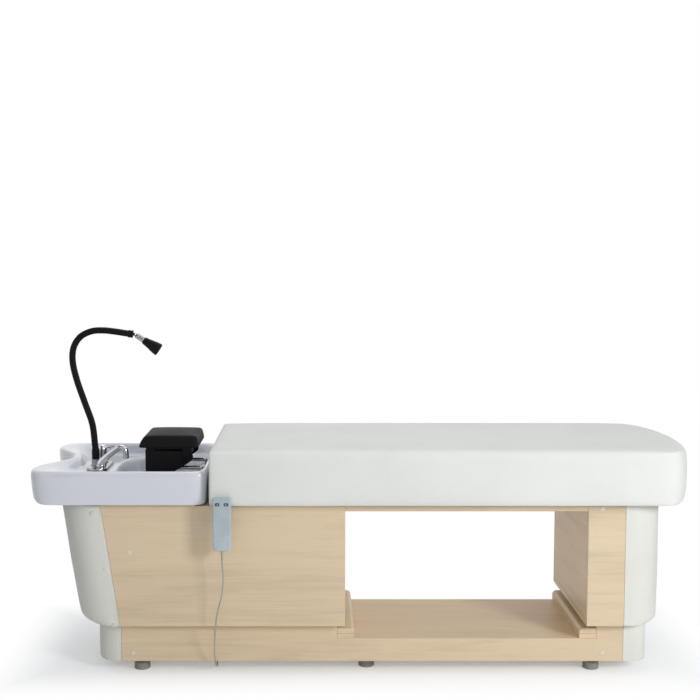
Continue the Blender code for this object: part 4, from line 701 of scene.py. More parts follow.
def make_mattress():
    low = (MATTRESS_HEAD, -MATTRESS_HALF, MATTRESS_BOTTOM)
    high = (MATTRESS_FOOT, MATTRESS_HALF, MATTRESS_TOP)
    middle = (MATTRESS_HEAD + MATTRESS_FOOT) / 2
    half_length = (MATTRESS_FOOT - MATTRESS_HEAD) / 2
    thickness = MATTRESS_TOP - MATTRESS_BOTTOM
    along = spaced(MATTRESS_HEAD, MATTRESS_FOOT, 0.020, 0.050, 6)
    across = spaced(-MATTRESS_HALF, MATTRESS_HALF, 0.020, 0.020, 7)
    upward = spaced(MATTRESS_BOTTOM, MATTRESS_TOP, 0.018, 0.020, 3)
    corner_round, foot_zone = 0.055, 0.025
    roll_top, roll_bottom = 0.012, 0.009
    side_taper, crown, hem = 0.006, 0.003, 0.003

    def shape_point(point):
        across_share = point.y / MATTRESS_HALF
        along_share = (point.x - middle) / half_length
        up_share = (point.z - MATTRESS_BOTTOM) / thickness
        if point.x > MATTRESS_FOOT - foot_zone:
            point.x -= roll_top * up_share**8 + roll_bottom * (1.0 - up_share) ** 4
        if along_share > 0.0:
            corner = setback(MATTRESS_HALF - abs(point.y), corner_round)
            point.x -= (FOOT_BOW * across_share**2 + corner) * along_share**2
        point.y -= math.copysign(side_taper, point.y) * (1.0 - up_share) * across_share**2
        if up_share > 0.99:
            point.z += crown * (1.0 - across_share**2) * (1.0 - along_share**4)
        return point

    def held(point):
        return point.z < MATTRESS_BOTTOM + hem

    piece = cover("mattress_cover", low, high, (along, across, upward), shape_point)
    swell = (0.005, 4.0, 0.0015)
    upholster(piece, "mattress_carriage", "ivory_leatherette", IVORY, "mattress", held, swell)
    side = MATTRESS_HALF - BOARD_INSET + GAP
    foot = MATTRESS_FOOT - FOOT_BOW - BOARD_INSET + GAP
    recess_low = (MATTRESS_HEAD + BOARD_INSET - GAP, -side, MATTRESS_BOTTOM - MATTRESS_WRAP)
    hollow(piece, recess_low, (foot, side, MATTRESS_BOTTOM + MATTRESS_WRAP))


def make_end(name, node, low, high, way, plan_round, lower_round, lean):
    """An upholstered end piece: flat at its seam, rounded in plan and at its lower end edge."""
    seam = low[0] if way > 0 else high[0]
    depth = high[0] - low[0]
    half = high[1]
    seam_band, hem = 0.004, 0.002
    along = [seam + way * depth * share for share in (0.06, 0.45, 0.85)]
    sides = [half - plan_round * share for share in (0.12, 0.45, 1.0)]
    across = [-place for place in sides] + sides
    upward = [low[2] + lower_round * share for share in (0.2, 0.55, 1.0)] + [high[2] - 0.012]

    def shape_point(point):
        out = (point.x - seam) / (way * depth)
        plan = setback(half - abs(point.y), plan_round)
        lower = setback(point.z - low[2], lower_round)
        reach = depth - plan - lower + plan * lower / depth
        point.x = seam + way * out * reach - lean * (point.z - low[2])
        return point

    def at_seam(point):
        return abs(point.x - seam) < 1e-6

    def held(point):
        from_seam = abs(point.x + lean * (point.z - low[2]) - seam)
        return from_seam < seam_band or point.z < low[2] + hem

    piece = cover(name, low, high, (along, across, upward), shape_point, at_seam)
    upholster(piece, "bed", "ivory_leatherette", PAD_IVORY, node, held, (0.003, 3.0, 0.001))


def make_ends():
    lean = math.tan(HEAD_LEAN)
    head = (BODY_HALF, CARCASS_BOTTOM, CARCASS_TOP + 0.003)
    foot = (BODY_HALF, CARCASS_BOTTOM, CARCASS_TOP + 0.004)
    base = (PLINTH_HALF, FOOT_HEIGHT, PLINTH_TOP - GAP)
    rows = (
        ("head_pad_cover", "head_end_pad", CABINET_HEAD, -1, 0.152, head, 0.110, 0.040, lean),
        ("foot_pad_cover", "foot_end_pad", UPRIGHT_END, 1, 0.138, foot, 0.105, 0.030, 0.0),
        ("plinth_head_cover", "plinth_head_pad", PLINTH_HEAD, -1, 0.088, base, 0.072, 0.010, 0.0),
        ("plinth_foot_cover", "plinth_foot_pad", PLINTH_FOOT, 1, 0.088, base, 0.050, 0.009, 0.0),
    )
    for name, node, face, way, depth, (half, bottom, top), plan_round, lower_round, slant in rows:
        start, end = sorted((face + way * GAP, face + way * (GAP + depth)))
        low, high = (start, -half, bottom), (end, half, top)
        make_end(name, node, low, high, way, plan_round, lower_round, slant)


def make_pillow():
    low = (-0.6825, -0.107, 0.7258)
    high = (-0.4835, 0.107, 0.7658)
    length, width, thickness = (end - start for start, end in zip(low, high))
    end_draw, foot_share, side_draw = 0.020, 0.4, 0.014
    crown, hem = 0.006, 0.002
    along = spaced(low[0], high[0], 0.026, 0.034, 4)
    across = spaced(low[1], high[1], 0.015, 0.015, 4)
    upward = spaced(low[2], high[2], 0.005, 0.010, 3)
    middle = (low[0] + high[0]) / 2

    def shape_point(point):
        up_share = (point.z - low[2]) / thickness
        along_share = (point.x - middle) / (length / 2)
        across_share = point.y / (width / 2)
        point.x -= end_draw * up_share**2 * along_share * (1.0 if along_share < 0 else foot_share)
        point.y -= side_draw * up_share**2 * across_share
        if up_share > 0.99:
            point.z += crown * (1.0 - across_share**2) * (1.0 - along_share**2)
        return point

    def held(point):
        return point.z < low[2] + hem

    piece = cover("neck_pillow_cover", low, high, (along, across, upward), shape_point)
    swell = (0.003, 4.0, 0.0)
    upholster(piece, "neck_cradle", "black_leatherette", BLACK_HIDE, "neck_pillow", held, swell)


# Basin

STATIONS = 120
SCALLOP_DEPTH = 0.0925
SCALLOP_HALF = 0.205
UNDER_ROUND = 0.030
WASTE_LENGTH = 0.090


def rounded_ring(centre, half_length, half_width, squareness, height, foot_squareness=None):
    """Points round a soft rectangle in plan, one for each station."""
    ring = []
    for station in range(STATIONS):
        angle = 2 * math.pi * station / STATIONS
        across, along = abs(math.sin(angle)) / half_width, abs(math.cos(angle)) / half_length
        power = foot_squareness if foot_squareness and math.cos(angle) > 0 else squareness
        reach = (along**power + across**power) ** (-1 / power)
        ring.append(Vector((centre + reach * math.cos(angle), reach * math.sin(angle), height)))
    return ring


def basin_outline(inset, height):
    """The basin's outer edge in plan, scalloped at the head end and rounded under it."""
    centre = (BASIN_HEAD + BASIN_FOOT) / 2
    half = (BASIN_FOOT - BASIN_HEAD) / 2
    ring = rounded_ring(centre, half - inset, BASIN_HALF - inset, 10.0, height, 18.0)
    under = setback(height - BASIN_BOTTOM, UNDER_ROUND)
    for point in ring:
        if point.x < centre:
            point.x += under * ((centre - point.x) / half) ** 8
            if abs(point.y) < SCALLOP_HALF:
                point.x += SCALLOP_DEPTH * (1 + math.cos(math.pi * point.y / SCALLOP_HALF)) / 2
    return ring


def ledge_ring(grow, height):
    middle = (LEDGE_HEAD + LEDGE_FOOT) / 2
    return rounded_ring(middle, (LEDGE_FOOT - LEDGE_HEAD) / 2 + grow, LEDGE_HALF + grow, 7.0, height)


def bowl_ring(share, grow, squareness, height):
    length = (BOWL_FOOT - BOWL_HEAD) / 2 * share + grow
    return rounded_ring(BOWL_MIDDLE, length, BOWL_HALF * share + grow, squareness, height)


def between(inner, outer, share, height):
    ring = []
    for start, end in zip(inner, outer):
        point = start.lerp(end, share)
        point.z = height
        ring.append(point)
    return ring


def make_basin():
    """The basin as one closed skin: up its outside, over the rim, down the bowl and back under it."""
    wall = BASIN_WALL
    outside = [(0.0090, 0.0), (0.0066, 0.0008), (0.0056, 0.0038), (0.0052, 0.012), (0.0045, 0.026)]
    shoulder = [(0.0012, 0.030), (0.0004, 0.014), (0.0025, 0.0055), (0.0065, 0.0012), (0.012, 0.0)]
    slope = [(0.66, 0.0010), (0.48, 0.0045), (0.34, 0.014), (0.22, 0.028), (0.10, 0.0365)]
    bowl = [(1.0, 0.007, 4.5, 0.0), (1.0, 0.001, 4.5, 0.0012), (1.0, -0.005, 4.0, 0.007)]
    bowl += [(1.0, -0.009, 4.0, 0.016), (0.90, 0.0, 3.7, 0.058), (0.81, 0.0, 3.4, 0.098)]
    bowl += [(0.70, 0.0, 3.2, 0.122), (0.55, 0.0, 3.0, 0.1315)]
    drain = [(0.044, -0.0030), (0.0375, 0.0002), (0.030, 0.0006), (0.030, wall)]
    ledge = ledge_ring(0.0, LEDGE_TOP)
    under = ledge_ring(0.003, LEDGE_TOP - wall)
    skirt = basin_outline(wall, RIM_TOP - 1.5 * wall)
    rings = [basin_outline(inset, BASIN_BOTTOM + rise) for inset, rise in outside]
    rings += [basin_outline(inset, RIM_TOP - drop) for inset, drop in shoulder]
    rim = rings[-1]
    rings += [between(ledge, rim, share, RIM_TOP - drop) for share, drop in slope]
    rings.append(ledge_ring(-0.007, LEDGE_TOP))
    rings += [bowl_ring(share, grow, power, LEDGE_TOP - drop) for share, grow, power, drop in bowl]
    rings += [rounded_ring(BOWL_MIDDLE, size, size, 2.0, BOWL_BOTTOM - drop) for size, drop in drain]
    rings += [
        bowl_ring(0.60, 0.004, 3.0, BOWL_BOTTOM + 0.010 - wall),
        bowl_ring(0.82, wall, 3.5, BOWL_BOTTOM + 0.042),
        bowl_ring(1.0, wall * 0.9, 4.5, LEDGE_TOP - wall),
        under,
        between(under, skirt, 0.6, RIM_TOP - 1.5 * wall),
        skirt,
        basin_outline(0.006 + wall, BASIN_BOTTOM + 0.012),
        basin_outline(0.006 + wall, BASIN_BOTTOM + 0.001),
    ]
    shape = bmesh.new()
    loops = [[shape.verts.new(point) for point in ring] for ring in rings]
    skin(shape, loops, ring_closed=True)
    basin = subdivide(to_object("basin_glazed", shape, 180.0), 1)
    basin.data.shade_smooth()
    dress(basin, "bed", "white_glaze", GLAZE, "basin")


def make_strainer():
    """The waste's flange and its tail pipe; its ring of holes is drawn as dark discs, painted shade."""
    seat = BOWL_BOTTOM + GAP
    bottom = BOWL_BOTTOM - WASTE_LENGTH
    flange = [(0.001, bottom), (0.022, bottom), (0.022, seat), (0.036, seat + 0.0012)]
    flange += [(0.036, seat + 0.0036), (0.030, seat + 0.0046)]
    flange += [(0.0265, seat + 0.0010), (0.001, seat + 0.0004)]
    shape = bmesh.new()
    lathe(shape, rounded_profile(flange, 0.0012), (BOWL_MIDDLE, 0.0, 0.0))
    dress(to_object("waste_flange", shape), "bed", "chrome", CHROME, "drain_waste")
    # painted shade: dark plastic discs stand for the dark inside of the waste seen through its holes
    hole_shade = [(0.0004, 0.0002), (0.0019, 0.0002), (0.0019, 0.00135), (0.0004, 0.00135)]
    shape = bmesh.new()
    for radius, count in ((0.007, 6), (0.0145, 12), (0.021, 18)):
        for spot in around(radius, count):
            place = spot + Vector((BOWL_MIDDLE, 0.0, seat))
            lathe(shape, rounded_profile(hole_shade, 0.0003, 2), place, steps=12)
    dress(to_object("waste_hole_shade", shape), "bed", "dark_plastic", DARK)


# Tap and spray

TAP_HALF = 0.035
TAP_REACH = 0.088
SPOUT_X = TAP_X + 0.012
SPOUT_Y = -0.055
SPOUT_REACH = 0.086
SPOUT_RADIUS = 0.0124
SPOUT_TAPER = 0.0034
TAIL_END = 0.610
MIXER_Y = 0.042
MIXER_RADIUS = 0.017
MIXER_POST = 0.040
ARM_X = TAP_X - 0.013
ARM_Y = -0.010
NUT_HEIGHT = 0.020
ARM_FOOT = TAP_PLATE_TOP + NUT_HEIGHT + GAP
ARM_POINTS = 420
ARM_RADIUS = 0.0109
ARM_RIB = 0.00012
# Steps along the bed and up from the arm's foot
ARM_ROUTE = (
    (0.0, 0.0), (0.0, 0.010), (0.0, 0.022), (-0.002, 0.050), (-0.010, 0.120),
    (-0.034, 0.192), (-0.060, 0.270), (-0.073, 0.332), (-0.069, 0.380), (-0.046, 0.416),
    (-0.008, 0.435), (0.032, 0.438), (0.072, 0.434), (0.104, 0.429), (0.132, 0.425),
)
SPRAY_BALL = Vector((-0.70457, -0.010, 1.09668))
SPRAY_TURN = Euler((0.0, math.pi / 2 + math.radians(33.0), 0.0))
BALL_RADIUS = 0.0062
NECK_LENGTH = 0.030
HEAD_LENGTH = 0.062


def make_tap():
    """The tap's plate, mixer post and arm nut, then the spout, the dome and its lever."""
    west, east = TAP_X - TAP_HALF, TAP_X + TAP_HALF
    corners = [(west, -TAP_REACH), (east, -TAP_REACH), (east, TAP_REACH), (west, TAP_REACH)]
    bottom = LEDGE_TOP + GAP
    levels = [(0.0, bottom), (0.0, TAP_PLATE_TOP - 0.004), (0.0006, TAP_PLATE_TOP - 0.0018)]
    levels += [(0.0022, TAP_PLATE_TOP - 0.0004), (0.0045, TAP_PLATE_TOP)]
    shape = bmesh.new()
    slab(shape, corners, TAP_HALF * 0.98, levels, lambda u, v, height: Vector((u, v, height)))
    tail = [(0.001, TAIL_END), (0.020, TAIL_END), (0.020, bottom), (0.001, bottom)]
    lathe(shape, tail, (TAP_X, 0.0, 0.0))
    post = [(0.001, -0.002), (0.0205, -0.002), (0.0205, 0.004), (MIXER_RADIUS, 0.006)]
    post += [(MIXER_RADIUS, MIXER_POST), (0.001, MIXER_POST)]
    lathe(shape, rounded_profile(post, 0.0015), (TAP_X, MIXER_Y, TAP_PLATE_TOP))
    nut = [(0.001, -0.002), (0.0156, -0.002), (0.0156, 0.004), (0.0135, 0.005)]
    nut += [(0.0135, NUT_HEIGHT), (0.001, NUT_HEIGHT)]
    lathe(shape, rounded_profile(nut, 0.001), (ARM_X, ARM_Y, TAP_PLATE_TOP))
    dress(to_object("tap_mount", shape), "bed", "chrome", SATIN, "tap_body")

    foot = TAP_PLATE_TOP + GAP
    route = [(0.0, 0.0), (0.0, 0.004), (0.0, 0.008), (0.0, 0.012), (0.010, 0.025), (0.034, 0.046)]
    route += [(0.056, 0.062), (0.072, 0.066), (0.083, 0.058), (SPOUT_REACH, 0.044), (SPOUT_REACH, 0.032)]
    points = smooth_route([(SPOUT_X + x, SPOUT_Y, foot + z) for x, z in route], 64)
    shape = bmesh.new()
    sweep(shape, points, lambda share: SPOUT_RADIUS - SPOUT_TAPER * share, 28)
    collar = [(0.001, 0.0), (0.0145, 0.0), (0.0145, 0.007), (0.0118, 0.010), (0.001, 0.010)]
    lathe(shape, rounded_profile(collar, 0.0012), (SPOUT_X, SPOUT_Y, foot))
    tip = [(0.001, 0.0302), (0.0088, 0.0302), (0.0096, 0.032), (0.0096, 0.041), (0.001, 0.041)]
    lathe(shape, rounded_profile(tip, 0.0008), (SPOUT_X + SPOUT_REACH, SPOUT_Y, foot))
    dress(to_object("spout_tube", shape), "spout", "chrome", CHROME, "spout")

    base = TAP_PLATE_TOP + MIXER_POST + GAP
    centre = base + 0.004
    start = math.asin((base - centre) / MIXER_RADIUS)
    profile = [(0.001, base)]
    for step in range(17):
        angle = start + (math.pi / 2 - start) * step / 16
        radius = max(MIXER_RADIUS * math.cos(angle), 0.0004)
        profile.append((radius, centre + MIXER_RADIUS * math.sin(angle)))
    shape = bmesh.new()
    lathe(shape, profile, (TAP_X, MIXER_Y, 0.0))
    dress(to_object("mixer_cap", shape), "mixer_dome", "chrome", CHROME, "mixer_dome")
    root = MIXER_RADIUS + GAP
    route = [(root, 0.006), (root + 0.026, 0.009), (root + 0.052, 0.008)]
    points = smooth_route([(TAP_X + x, MIXER_Y, centre + z) for x, z in route], 24)
    shape = bmesh.new()
    sweep(shape, points, lambda share: 0.0030 + 0.0010 * share**3, 20)
    dress(to_object("mixer_handle", shape), "mixer_lever", "chrome", CHROME, "mixer_lever")


def make_spray():
    """The flexible arm with its collars, then the ball joint and the spray head."""
    points = smooth_route([(ARM_X + x, ARM_Y, ARM_FOOT + z) for x, z in ARM_ROUTE], ARM_POINTS)
    shape = bmesh.new()
    turns = ARM_POINTS * math.pi / 2
    sweep(shape, points, lambda share: ARM_RADIUS + ARM_RIB * math.cos(share * turns), 20)
    dress(to_object("spray_hose", shape, 180.0), "spray_arm", "black_sleeve", SLEEVE, "spray_arm")

    collar = [(0.001, 0.0), (0.0130, 0.0), (0.0130, 0.006), (0.0124, 0.007), (0.0124, 0.009)]
    collar += [(0.0130, 0.010), (0.0130, 0.033), (0.0108, 0.038), (0.001, 0.038)]
    shape = bmesh.new()
    lathe(shape, rounded_profile(collar, 0.0008), (ARM_X, ARM_Y, ARM_FOOT))
    turn = (points[-1] - points[-2]).normalized().to_track_quat("Z", "Y").to_euler()
    end = [(0.001, -0.019), (0.0106, -0.019), (0.0122, -0.015), (0.0128, -0.014), (0.0128, -0.010)]
    end += [(0.0119, -0.009), (0.0119, -0.006), (0.0128, -0.005), (0.0128, 0.0), (0.001, 0.0)]
    lathe(shape, rounded_profile(end, 0.0006), tuple(points[-1]), turn)
    dress(to_object("spray_collars", shape), "spray_arm", "black_plastic", BLACK)

    start = BALL_RADIUS * 0.75
    neck_end = start + NECK_LENGTH
    profile = []
    for step in range(13):
        angle = -math.pi / 2 + math.radians(125.0) * step / 12
        profile.append((max(BALL_RADIUS * math.cos(angle), 0.0004), BALL_RADIUS * math.sin(angle)))
    angle = math.radians(36.0)
    neck = [(BALL_RADIUS * math.cos(angle), BALL_RADIUS * math.sin(angle)), (0.0098, start + 0.003)]
    neck += [(0.0098, start + 0.010), (0.0086, start + 0.0108), (0.0086, start + 0.0128)]
    neck += [(0.0098, start + 0.0136), (0.0098, neck_end), (0.001, neck_end)]
    shape = bmesh.new()
    lathe(shape, profile + rounded_profile(neck, 0.0005), SPRAY_BALL, SPRAY_TURN, 40)
    dress(to_object("spray_joint", shape), "spray_head", "chrome", SATIN, "spray_neck")

    back = neck_end + GAP
    front = back + HEAD_LENGTH
    cone = [(0.001, back), (0.0108, back), (0.0128, back + 0.004), (0.0140, back + 0.0155)]
    cone += [(0.0203, back + 0.0465), (0.0215, front - 0.004), (0.0206, front), (0.0186, front)]
    cone += [(0.0177, front - 0.0036), (0.001, front - 0.0040)]
    shape = bmesh.new()
    lathe(shape, rounded_profile(cone, 0.0016), SPRAY_BALL, SPRAY_TURN, 56)
    face = Vector((0.0, 0.0, front - 0.0042))
    nozzle = [(0.0003, 0.0), (0.0011, 0.0), (0.0008, 0.0016), (0.0003, 0.0016)]
    for radius, count in ((0.0, 1), (0.0052, 6), (0.0102, 12), (0.0150, 18)):
        for spot in around(radius, count):
            place = SPRAY_BALL + SPRAY_TURN.to_matrix() @ (spot + face)
            lathe(shape, rounded_profile(nozzle, 0.0003, 2), place, SPRAY_TURN, 10)
    dress(to_object("spray_cone", shape), "spray_head", "black_plastic", BLACK, "spray_head")


# Neck rest

RAIL_RADIUS = 0.0064
RAIL_BEND = 0.0095
RAIL_RISE = 0.015
RAIL_SETBACK = 0.010
RAIL_LENGTH = 0.176
RAIL_HALF_SPREAD = 0.076


def make_neck_rest():
    axis = LEDGE_TOP + RAIL_RISE
    end_x = LEDGE_FOOT - RAIL_SETBACK
    for hand, y in (("near", -RAIL_HALF_SPREAD), ("far", RAIL_HALF_SPREAD)):
        points = [(end_x - back, y, axis) for back in (RAIL_LENGTH, RAIL_LENGTH - 0.004, RAIL_LENGTH / 2)]
        for step in range(13):
            angle = math.pi / 2 * step / 12
            x, z = RAIL_BEND * (math.sin(angle) - 1), RAIL_BEND * (math.cos(angle) - 1)
            points.append((end_x + x, y, axis + z))
        points.append((end_x, y, LEDGE_TOP + GAP))
        shape = bmesh.new()
        sweep(shape, points, lambda share: RAIL_RADIUS)
        foot = [(0.001, GAP), (0.0082, GAP), (0.0082, 0.0016), (0.006, 0.0030), (0.001, 0.0030)]
        lathe(shape, rounded_profile(foot, 0.0006), (end_x, y, LEDGE_TOP), steps=32)
        dress(to_object("neck_rail_" + hand, shape), "bed", "chrome", SATIN, "rest_rail_" + hand)
    carrier = softened("neck_carrier", "neck_bracket", 0.0014)
    dress(carrier, "neck_bracket", "black_plastic", BLACK, "neck_bracket")
    saddle = softened("neck_saddle", "neck_cradle", 0.0012)
    dress(saddle, "neck_cradle", "black_plastic", BLACK, "neck_cradle")


# Handset

HANDSET_HALF = 0.029
HANDSET_CUT = 0.009
BUTTON_Z = HANDSET_TOP - 0.021
BUTTON_OFFSET = 0.0138
BUTTON_HALF = (0.007, 0.005)
BUTTON_DEPTH = 0.004
BUTTON_PROUD = 0.0016
ARROW_TAIL = 0.0028
ARROW_TIP = 0.0034
ARROW_HALF = 0.0026
ARROW_SINK = 0.0002


def make_handset():
    west, east = HANDSET_X - HANDSET_HALF, HANDSET_X + HANDSET_HALF
    corners = [(west + HANDSET_CUT, HANDSET_BOTTOM), (east - HANDSET_CUT, HANDSET_BOTTOM)]
    corners += [(east, HANDSET_BOTTOM + HANDSET_CUT), (east, HANDSET_TOP)]
    corners += [(west, HANDSET_TOP), (west, HANDSET_BOTTOM + HANDSET_CUT)]

    def facing(front):
        return lambda u, v, height: Vector((u, front - height, v))

    shape = bmesh.new()
    levels = eased(0.0, HANDSET_BACK - HANDSET_FRONT, 0.0048, 8)
    slab(shape, corners, 0.0075, levels, facing(HANDSET_BACK))
    dress(to_object("handset_shell", shape), "bed", "handset_shell", SHELL, "handset_case")

    wide, tall = BUTTON_HALF
    for label, way in (("out", -1), ("in", 1)):
        x = HANDSET_X + way * BUTTON_OFFSET
        button = "button_" + label
        box = [(x - wide, BUTTON_Z - tall), (x + wide, BUTTON_Z - tall)]
        box += [(x + wide, BUTTON_Z + tall), (x - wide, BUTTON_Z + tall)]
        shape = bmesh.new()
        seat = facing(HANDSET_FRONT - BUTTON_PROUD + BUTTON_DEPTH)
        slab(shape, box, 0.0032, eased(0.0, BUTTON_DEPTH, 0.0009), seat)
        dress(to_object("button_pad_" + label, shape), button, "dark_plastic", NAVY, button)
        tail, tip = x - ARROW_TAIL * way, x + ARROW_TIP * way
        arrow = [(tail, BUTTON_Z - ARROW_HALF), (tip, BUTTON_Z), (tail, BUTTON_Z + ARROW_HALF)]
        if way < 0:
            arrow.reverse()
        shape = bmesh.new()
        face = facing(HANDSET_FRONT - BUTTON_PROUD + ARROW_SINK)
        slab(shape, arrow, 0.0006, eased(0.0, 0.0007, 0.0003, 2), face)
        dress(to_object("button_arrow_" + label, shape), button, "handset_shell", SHELL)

    strip = softened("hanger_strip", "handset_hanger", 0.0008)
    dress(strip, "bed", "steel", STEEL_Z, "handset_hanger")


# Plinth details

PUCK_RADIUS = 0.026
PUCK_GROOVE = 0.0254
GROOVE_COUNT = 5
GROOVE_START = 0.0045
GROOVE_PITCH = 0.0034
BAR_BOTTOM = 0.117
BAR_TOP = 0.150
BAR_SPLIT = BAR_BOTTOM + 0.0158
BAR_SHOULDER = BAR_BOTTOM + 0.0190
SLIT_HALF = 0.0006
SLIT_DEPTH = 0.002
CORE_HALF = 0.001
BAR_ROUND = (0.013, 0.0140)
BAR_EDGE = 0.0008


def make_feet():
    profile = [(0.001, 0.0), (PUCK_RADIUS - 0.0035, 0.0), (PUCK_RADIUS, 0.0021)]
    for step in range(GROOVE_COUNT):
        height = GROOVE_START + GROOVE_PITCH * step
        profile += [(PUCK_RADIUS, height), (PUCK_GROOVE, height + 0.0006)]
        profile += [(PUCK_GROOVE, height + 0.0014), (PUCK_RADIUS, height + 0.0020)]
    profile += [(PUCK_RADIUS, 0.0226), (0.0225, 0.026), (0.0105, 0.0266), (0.010, 0.0275)]
    profile += [(0.010, 0.0397), (0.005, 0.0397), (0.005, 0.070), (0.001, 0.070)]
    for node in NODES:
        if node.startswith("leveller_"):
            low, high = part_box(node)
            middle = (low + high) / 2 - LAYOUT
            shape = bmesh.new()
            lathe(shape, profile, (middle.x, middle.y, 0.0))
            dress(to_object(node + "_puck", shape), node, "dark_plastic", FOOT_GREY, node)


def make_bars():
    """The cross bars at both ends of the shelf: a rail, a thin groove and a rounded top."""
    for name, outer, inner in (("head", -0.024, 0.032), ("foot", 0.821, 0.765)):
        way = 1 if inner > outer else -1
        below, above = BAR_SPLIT - SLIT_HALF, BAR_SPLIT + SLIT_HALF
        rail = [(outer, BAR_BOTTOM), (inner, BAR_BOTTOM), (inner, below), (outer, below)]
        nose = [(outer, above), (inner, above), (inner, BAR_SHOULDER)]
        for step in range(1, 9):
            angle = math.pi / 2 * step / 8
            x = inner - way * BAR_ROUND[0] * (1 - math.cos(angle))
            nose.append((x, BAR_SHOULDER + BAR_ROUND[1] * math.sin(angle)))
        nose.append((outer, BAR_TOP))
        behind = inner - way * SLIT_DEPTH
        below, above = BAR_SPLIT - CORE_HALF, BAR_SPLIT + CORE_HALF
        core = [(outer, below), (behind, below), (behind, above), (outer, above)]
        shape = bmesh.new()
        inside = PLINTH_HALF - SLIT_DEPTH
        for section, reach in ((rail, PLINTH_HALF), (nose, PLINTH_HALF), (core, inside)):
            points = [Vector(point) for point in section]
            middle = sum(points, Vector((0.0, 0.0))) / len(points)
            inner_y = reach - BAR_EDGE
            loops = []
            for inset, y in ((BAR_EDGE, -reach), (0.0, -inner_y), (0.0, inner_y), (BAR_EDGE, reach)):
                eased_in = [point + (middle - point).normalized() * inset for point in points]
                loops.append([shape.verts.new((point.x, y, point.y)) for point in eased_in])
            skin(shape, loops)
        bar = to_object("bar_" + name, shape, 25.0)
        dress(bar, "bed", "maple_laminate", WOOD_Y, "cross_bar_" + name)


def make_screw_covers():
    """Small round covers over the fixing screws, on both sides."""
    rows = (
        ("body", BODY_HALF, ((-0.694, 0.412), (0.822, 0.556))),
        ("pad", BODY_HALF, ((-0.809, 0.541), (-0.770, 0.359), (-0.744, 0.175))),
        ("plinth", PLINTH_HALF, ((-0.692, 0.067), (0.840, 0.067))),
    )
    cap = [(0.0005, -0.002), (0.0075, -0.002), (0.0075, 0.0006), (0.0062, 0.0019), (0.0005, 0.0024)]
    for label, half, places in rows:
        shape = bmesh.new()
        for side in (-1, 1):
            turn = Euler((math.pi / 2 * -side, 0.0, 0.0))
            for x, z in places:
                lathe(shape, rounded_profile(cap, 0.0008), (x, side * half, z), turn, 24)
        dress(to_object("screw_covers_" + label, shape), "bed", "maple_laminate", CAP)


def finish_nodes():
    """Materials of the CAD nodes that stay in view."""
    across = ("cabinet_side", "upright_side", "upright_floor")
    kinds = {
        "maple_laminate": WOOD_X, "ivory_leatherette": IVORY, "white_glaze": GLAZE, "chrome": CHROME,
        "black_plastic": BLACK, "black_sleeve": SLEEVE, "black_leatherette": BLACK_HIDE, "steel": STEEL_X,
        "dark_plastic": DARK, "handset_shell": SHELL, "grey_sheath": SHEATH, "braided_steel": BRAID,
    }
    for row in frame["record"]["subparts"]:
        node = NODES[row["node"]]
        material = WOOD_Y if row["node"] in across else kinds[row["material_slot"]]
        for slot in node.material_slots:
            slot.material = material


# Studio

WHITE = (1.0, 1.0, 1.0, 1.0)
SOFT_LIGHT = 0.47
FLOOR_HALF = 6.0
FLOOR_VEIL = 0.3


def seen_share(tree):
    """1 for the rays that show the white background: from the camera, through glass, off a mirror."""
    path = tree.nodes.new("ShaderNodeLightPath").outputs
    share = path["Is Camera Ray"]
    for label in ("Is Transmission Ray", "Is Glossy Ray"):
        share = add_node(tree, "Math", {0: share, 1: path[label]}, "Value", operation="MAXIMUM")
    return share


def area_light(name, place, target, size, power):
    data = bpy.data.lights.new(name, "AREA")
    data.shape = "RECTANGLE"
    data.size, data.size_y = size
    data.energy = power
    lamp = bpy.data.objects.new(name, data)
    lamp.location = place
    lamp.rotation_euler = (Vector(target) - Vector(place)).to_track_quat("-Z", "Y").to_euler()
    SCENE.collection.objects.link(lamp)


def stage_sheet(name, corners):
    """A flat four-cornered sheet of the studio, with a new material; gives both."""
    mesh = bpy.data.meshes.new(name)
    mesh.from_pydata(corners, [], [(0, 1, 2, 3)])
    sheet = bpy.data.objects.new(name, mesh)
    SCENE.collection.objects.link(sheet)
    material = bpy.data.materials.new(name)
    material.use_nodes = True
    mesh.materials.append(material)
    return sheet, material


def make_floor():
    """A pale floor that keeps the shadow and fades into the white background."""
    far = FLOOR_HALF
    _, material = stage_sheet("floor", [(-far, -far, 0), (far, -far, 0), (far, far, 0), (-far, far, 0)])
    tree = material.node_tree
    tree.nodes.clear()
    place = add_node(tree, "TexCoord", {}, "Object")
    split = add_node(tree, "SeparateXYZ", {"Vector": place}, "X").node.outputs
    sideways = add_node(tree, "Math", {0: split["X"]}, "Value", operation="ABSOLUTE")
    fades = []
    for value, near, end in ((sideways, 0.98, 1.24), (split["Y"], -0.12, -0.42), (split["Y"], 0.28, 0.55)):
        inputs = {"Value": value, "From Min": near, "From Max": end}
        fades.append(add_node(tree, "MapRange", inputs, "Result", interpolation_type="SMOOTHSTEP"))
    away = fades[0]
    for other in fades[1:]:
        away = add_node(tree, "Math", {0: away, 1: other}, "Value", operation="MAXIMUM")
    lit = add_node(tree, "BsdfDiffuse", {"Color": (0.86, 0.86, 0.86, 1.0)}, "BSDF")
    bright = add_node(tree, "BsdfDiffuse", {"Color": (1.25, 1.275, 1.30, 1.0)}, "BSDF")
    pale = add_node(tree, "Emission", {"Color": WHITE, "Strength": 1.0}, "Emission")
    veil = add_node(tree, "MixShader", {"Fac": FLOOR_VEIL, 1: bright, 2: pale}, "Shader")
    edge = add_node(tree, "MixShader", {"Fac": away, 1: veil, 2: pale}, "Shader")
    shown = add_node(tree, "MixShader", {"Fac": seen_share(tree), 1: lit, 2: edge}, "Shader")
    tree.links.new(shown, tree.nodes.new("ShaderNodeOutputMaterial").inputs["Surface"])


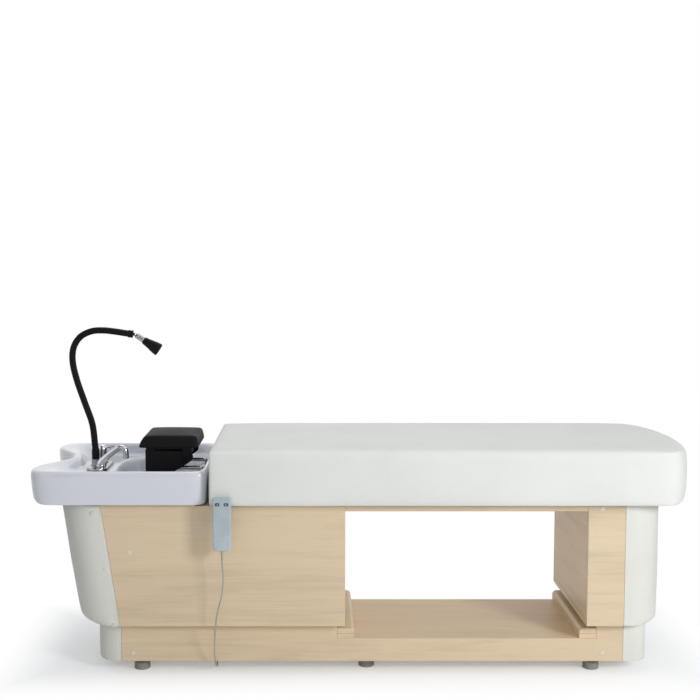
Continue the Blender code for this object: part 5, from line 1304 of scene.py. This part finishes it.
def make_card(name, corners):
    """A dark studio card that the camera doesn't see."""
    card, material = stage_sheet(name, corners)
    shader = material.node_tree.nodes["Principled BSDF"]
    shader.inputs["Base Color"].default_value = (0.02, 0.02, 0.02, 1.0)
    shader.inputs["Roughness"].default_value = 0.9
    card.visible_camera = False
    return card


def make_studio():
    """White surroundings, soft light, three lamps and the floor, with cards for shade and chrome."""
    world = bpy.data.worlds.new("studio")
    world.use_nodes = True
    SCENE.world = world
    tree = world.node_tree
    tree.nodes.clear()
    white = add_node(tree, "Background", {"Color": WHITE, "Strength": 1.0}, "Background")
    tint = {"Color": (0.97, 0.98, 1.0, 1.0), "Strength": SOFT_LIGHT}
    soft = add_node(tree, "Background", tint, "Background")
    sky = add_node(tree, "MixShader", {"Fac": seen_share(tree), 1: soft, 2: white}, "Shader")
    tree.links.new(sky, tree.nodes.new("ShaderNodeOutputWorld").inputs["Surface"])

    area_light("key", (2.6, -2.95, 1.9), (0.3, 0.0, 0.5), (0.9, 0.9), 68.0)
    area_light("front", (-0.6, -4.6, 1.8), (0.0, 0.0, 0.5), (2.4, 1.6), 10.0)
    area_light("overhead", (-0.6, 0.4, 2.8), (0.0, 0.0, 0.7), (1.5, 1.5), 11.0)
    make_floor()
    behind = [(-3.0, -5.4, 0.2), (2.0, -5.4, 0.2), (2.0, -5.4, 4.4), (-3.0, -5.4, 4.4)]
    above = [(-2.4, -2.2, 3.4), (0.2, -2.2, 3.4), (0.2, 0.8, 3.4), (-2.4, 0.8, 3.4)]
    for name, corners in (("rear_card", behind), ("top_card", above)):
        card = make_card(name, corners)
        card.visible_diffuse = False
        card.visible_shadow = False
    left = [(-2.6, 1.2, 0.0), (-2.6, -1.8, 0.0), (-2.6, -1.8, 1.3), (-2.6, 1.2, 1.3)]
    right = [(2.3, -1.3, 0.0), (2.3, 1.2, 0.0), (2.3, 1.2, 1.4), (2.3, -1.3, 1.4)]
    for name, corners in (("left_flag", left), ("right_flag", right)):
        make_card(name, corners).visible_glossy = False


make_cord()
make_mattress()
make_ends()
make_pillow()
make_basin()
make_strainer()
make_tap()
make_spray()
make_neck_rest()
make_handset()
make_feet()
make_bars()
make_screw_covers()
finish_nodes()
make_studio()
SCENE.view_settings.view_transform = "Standard"

bpy.context.view_layer.update()
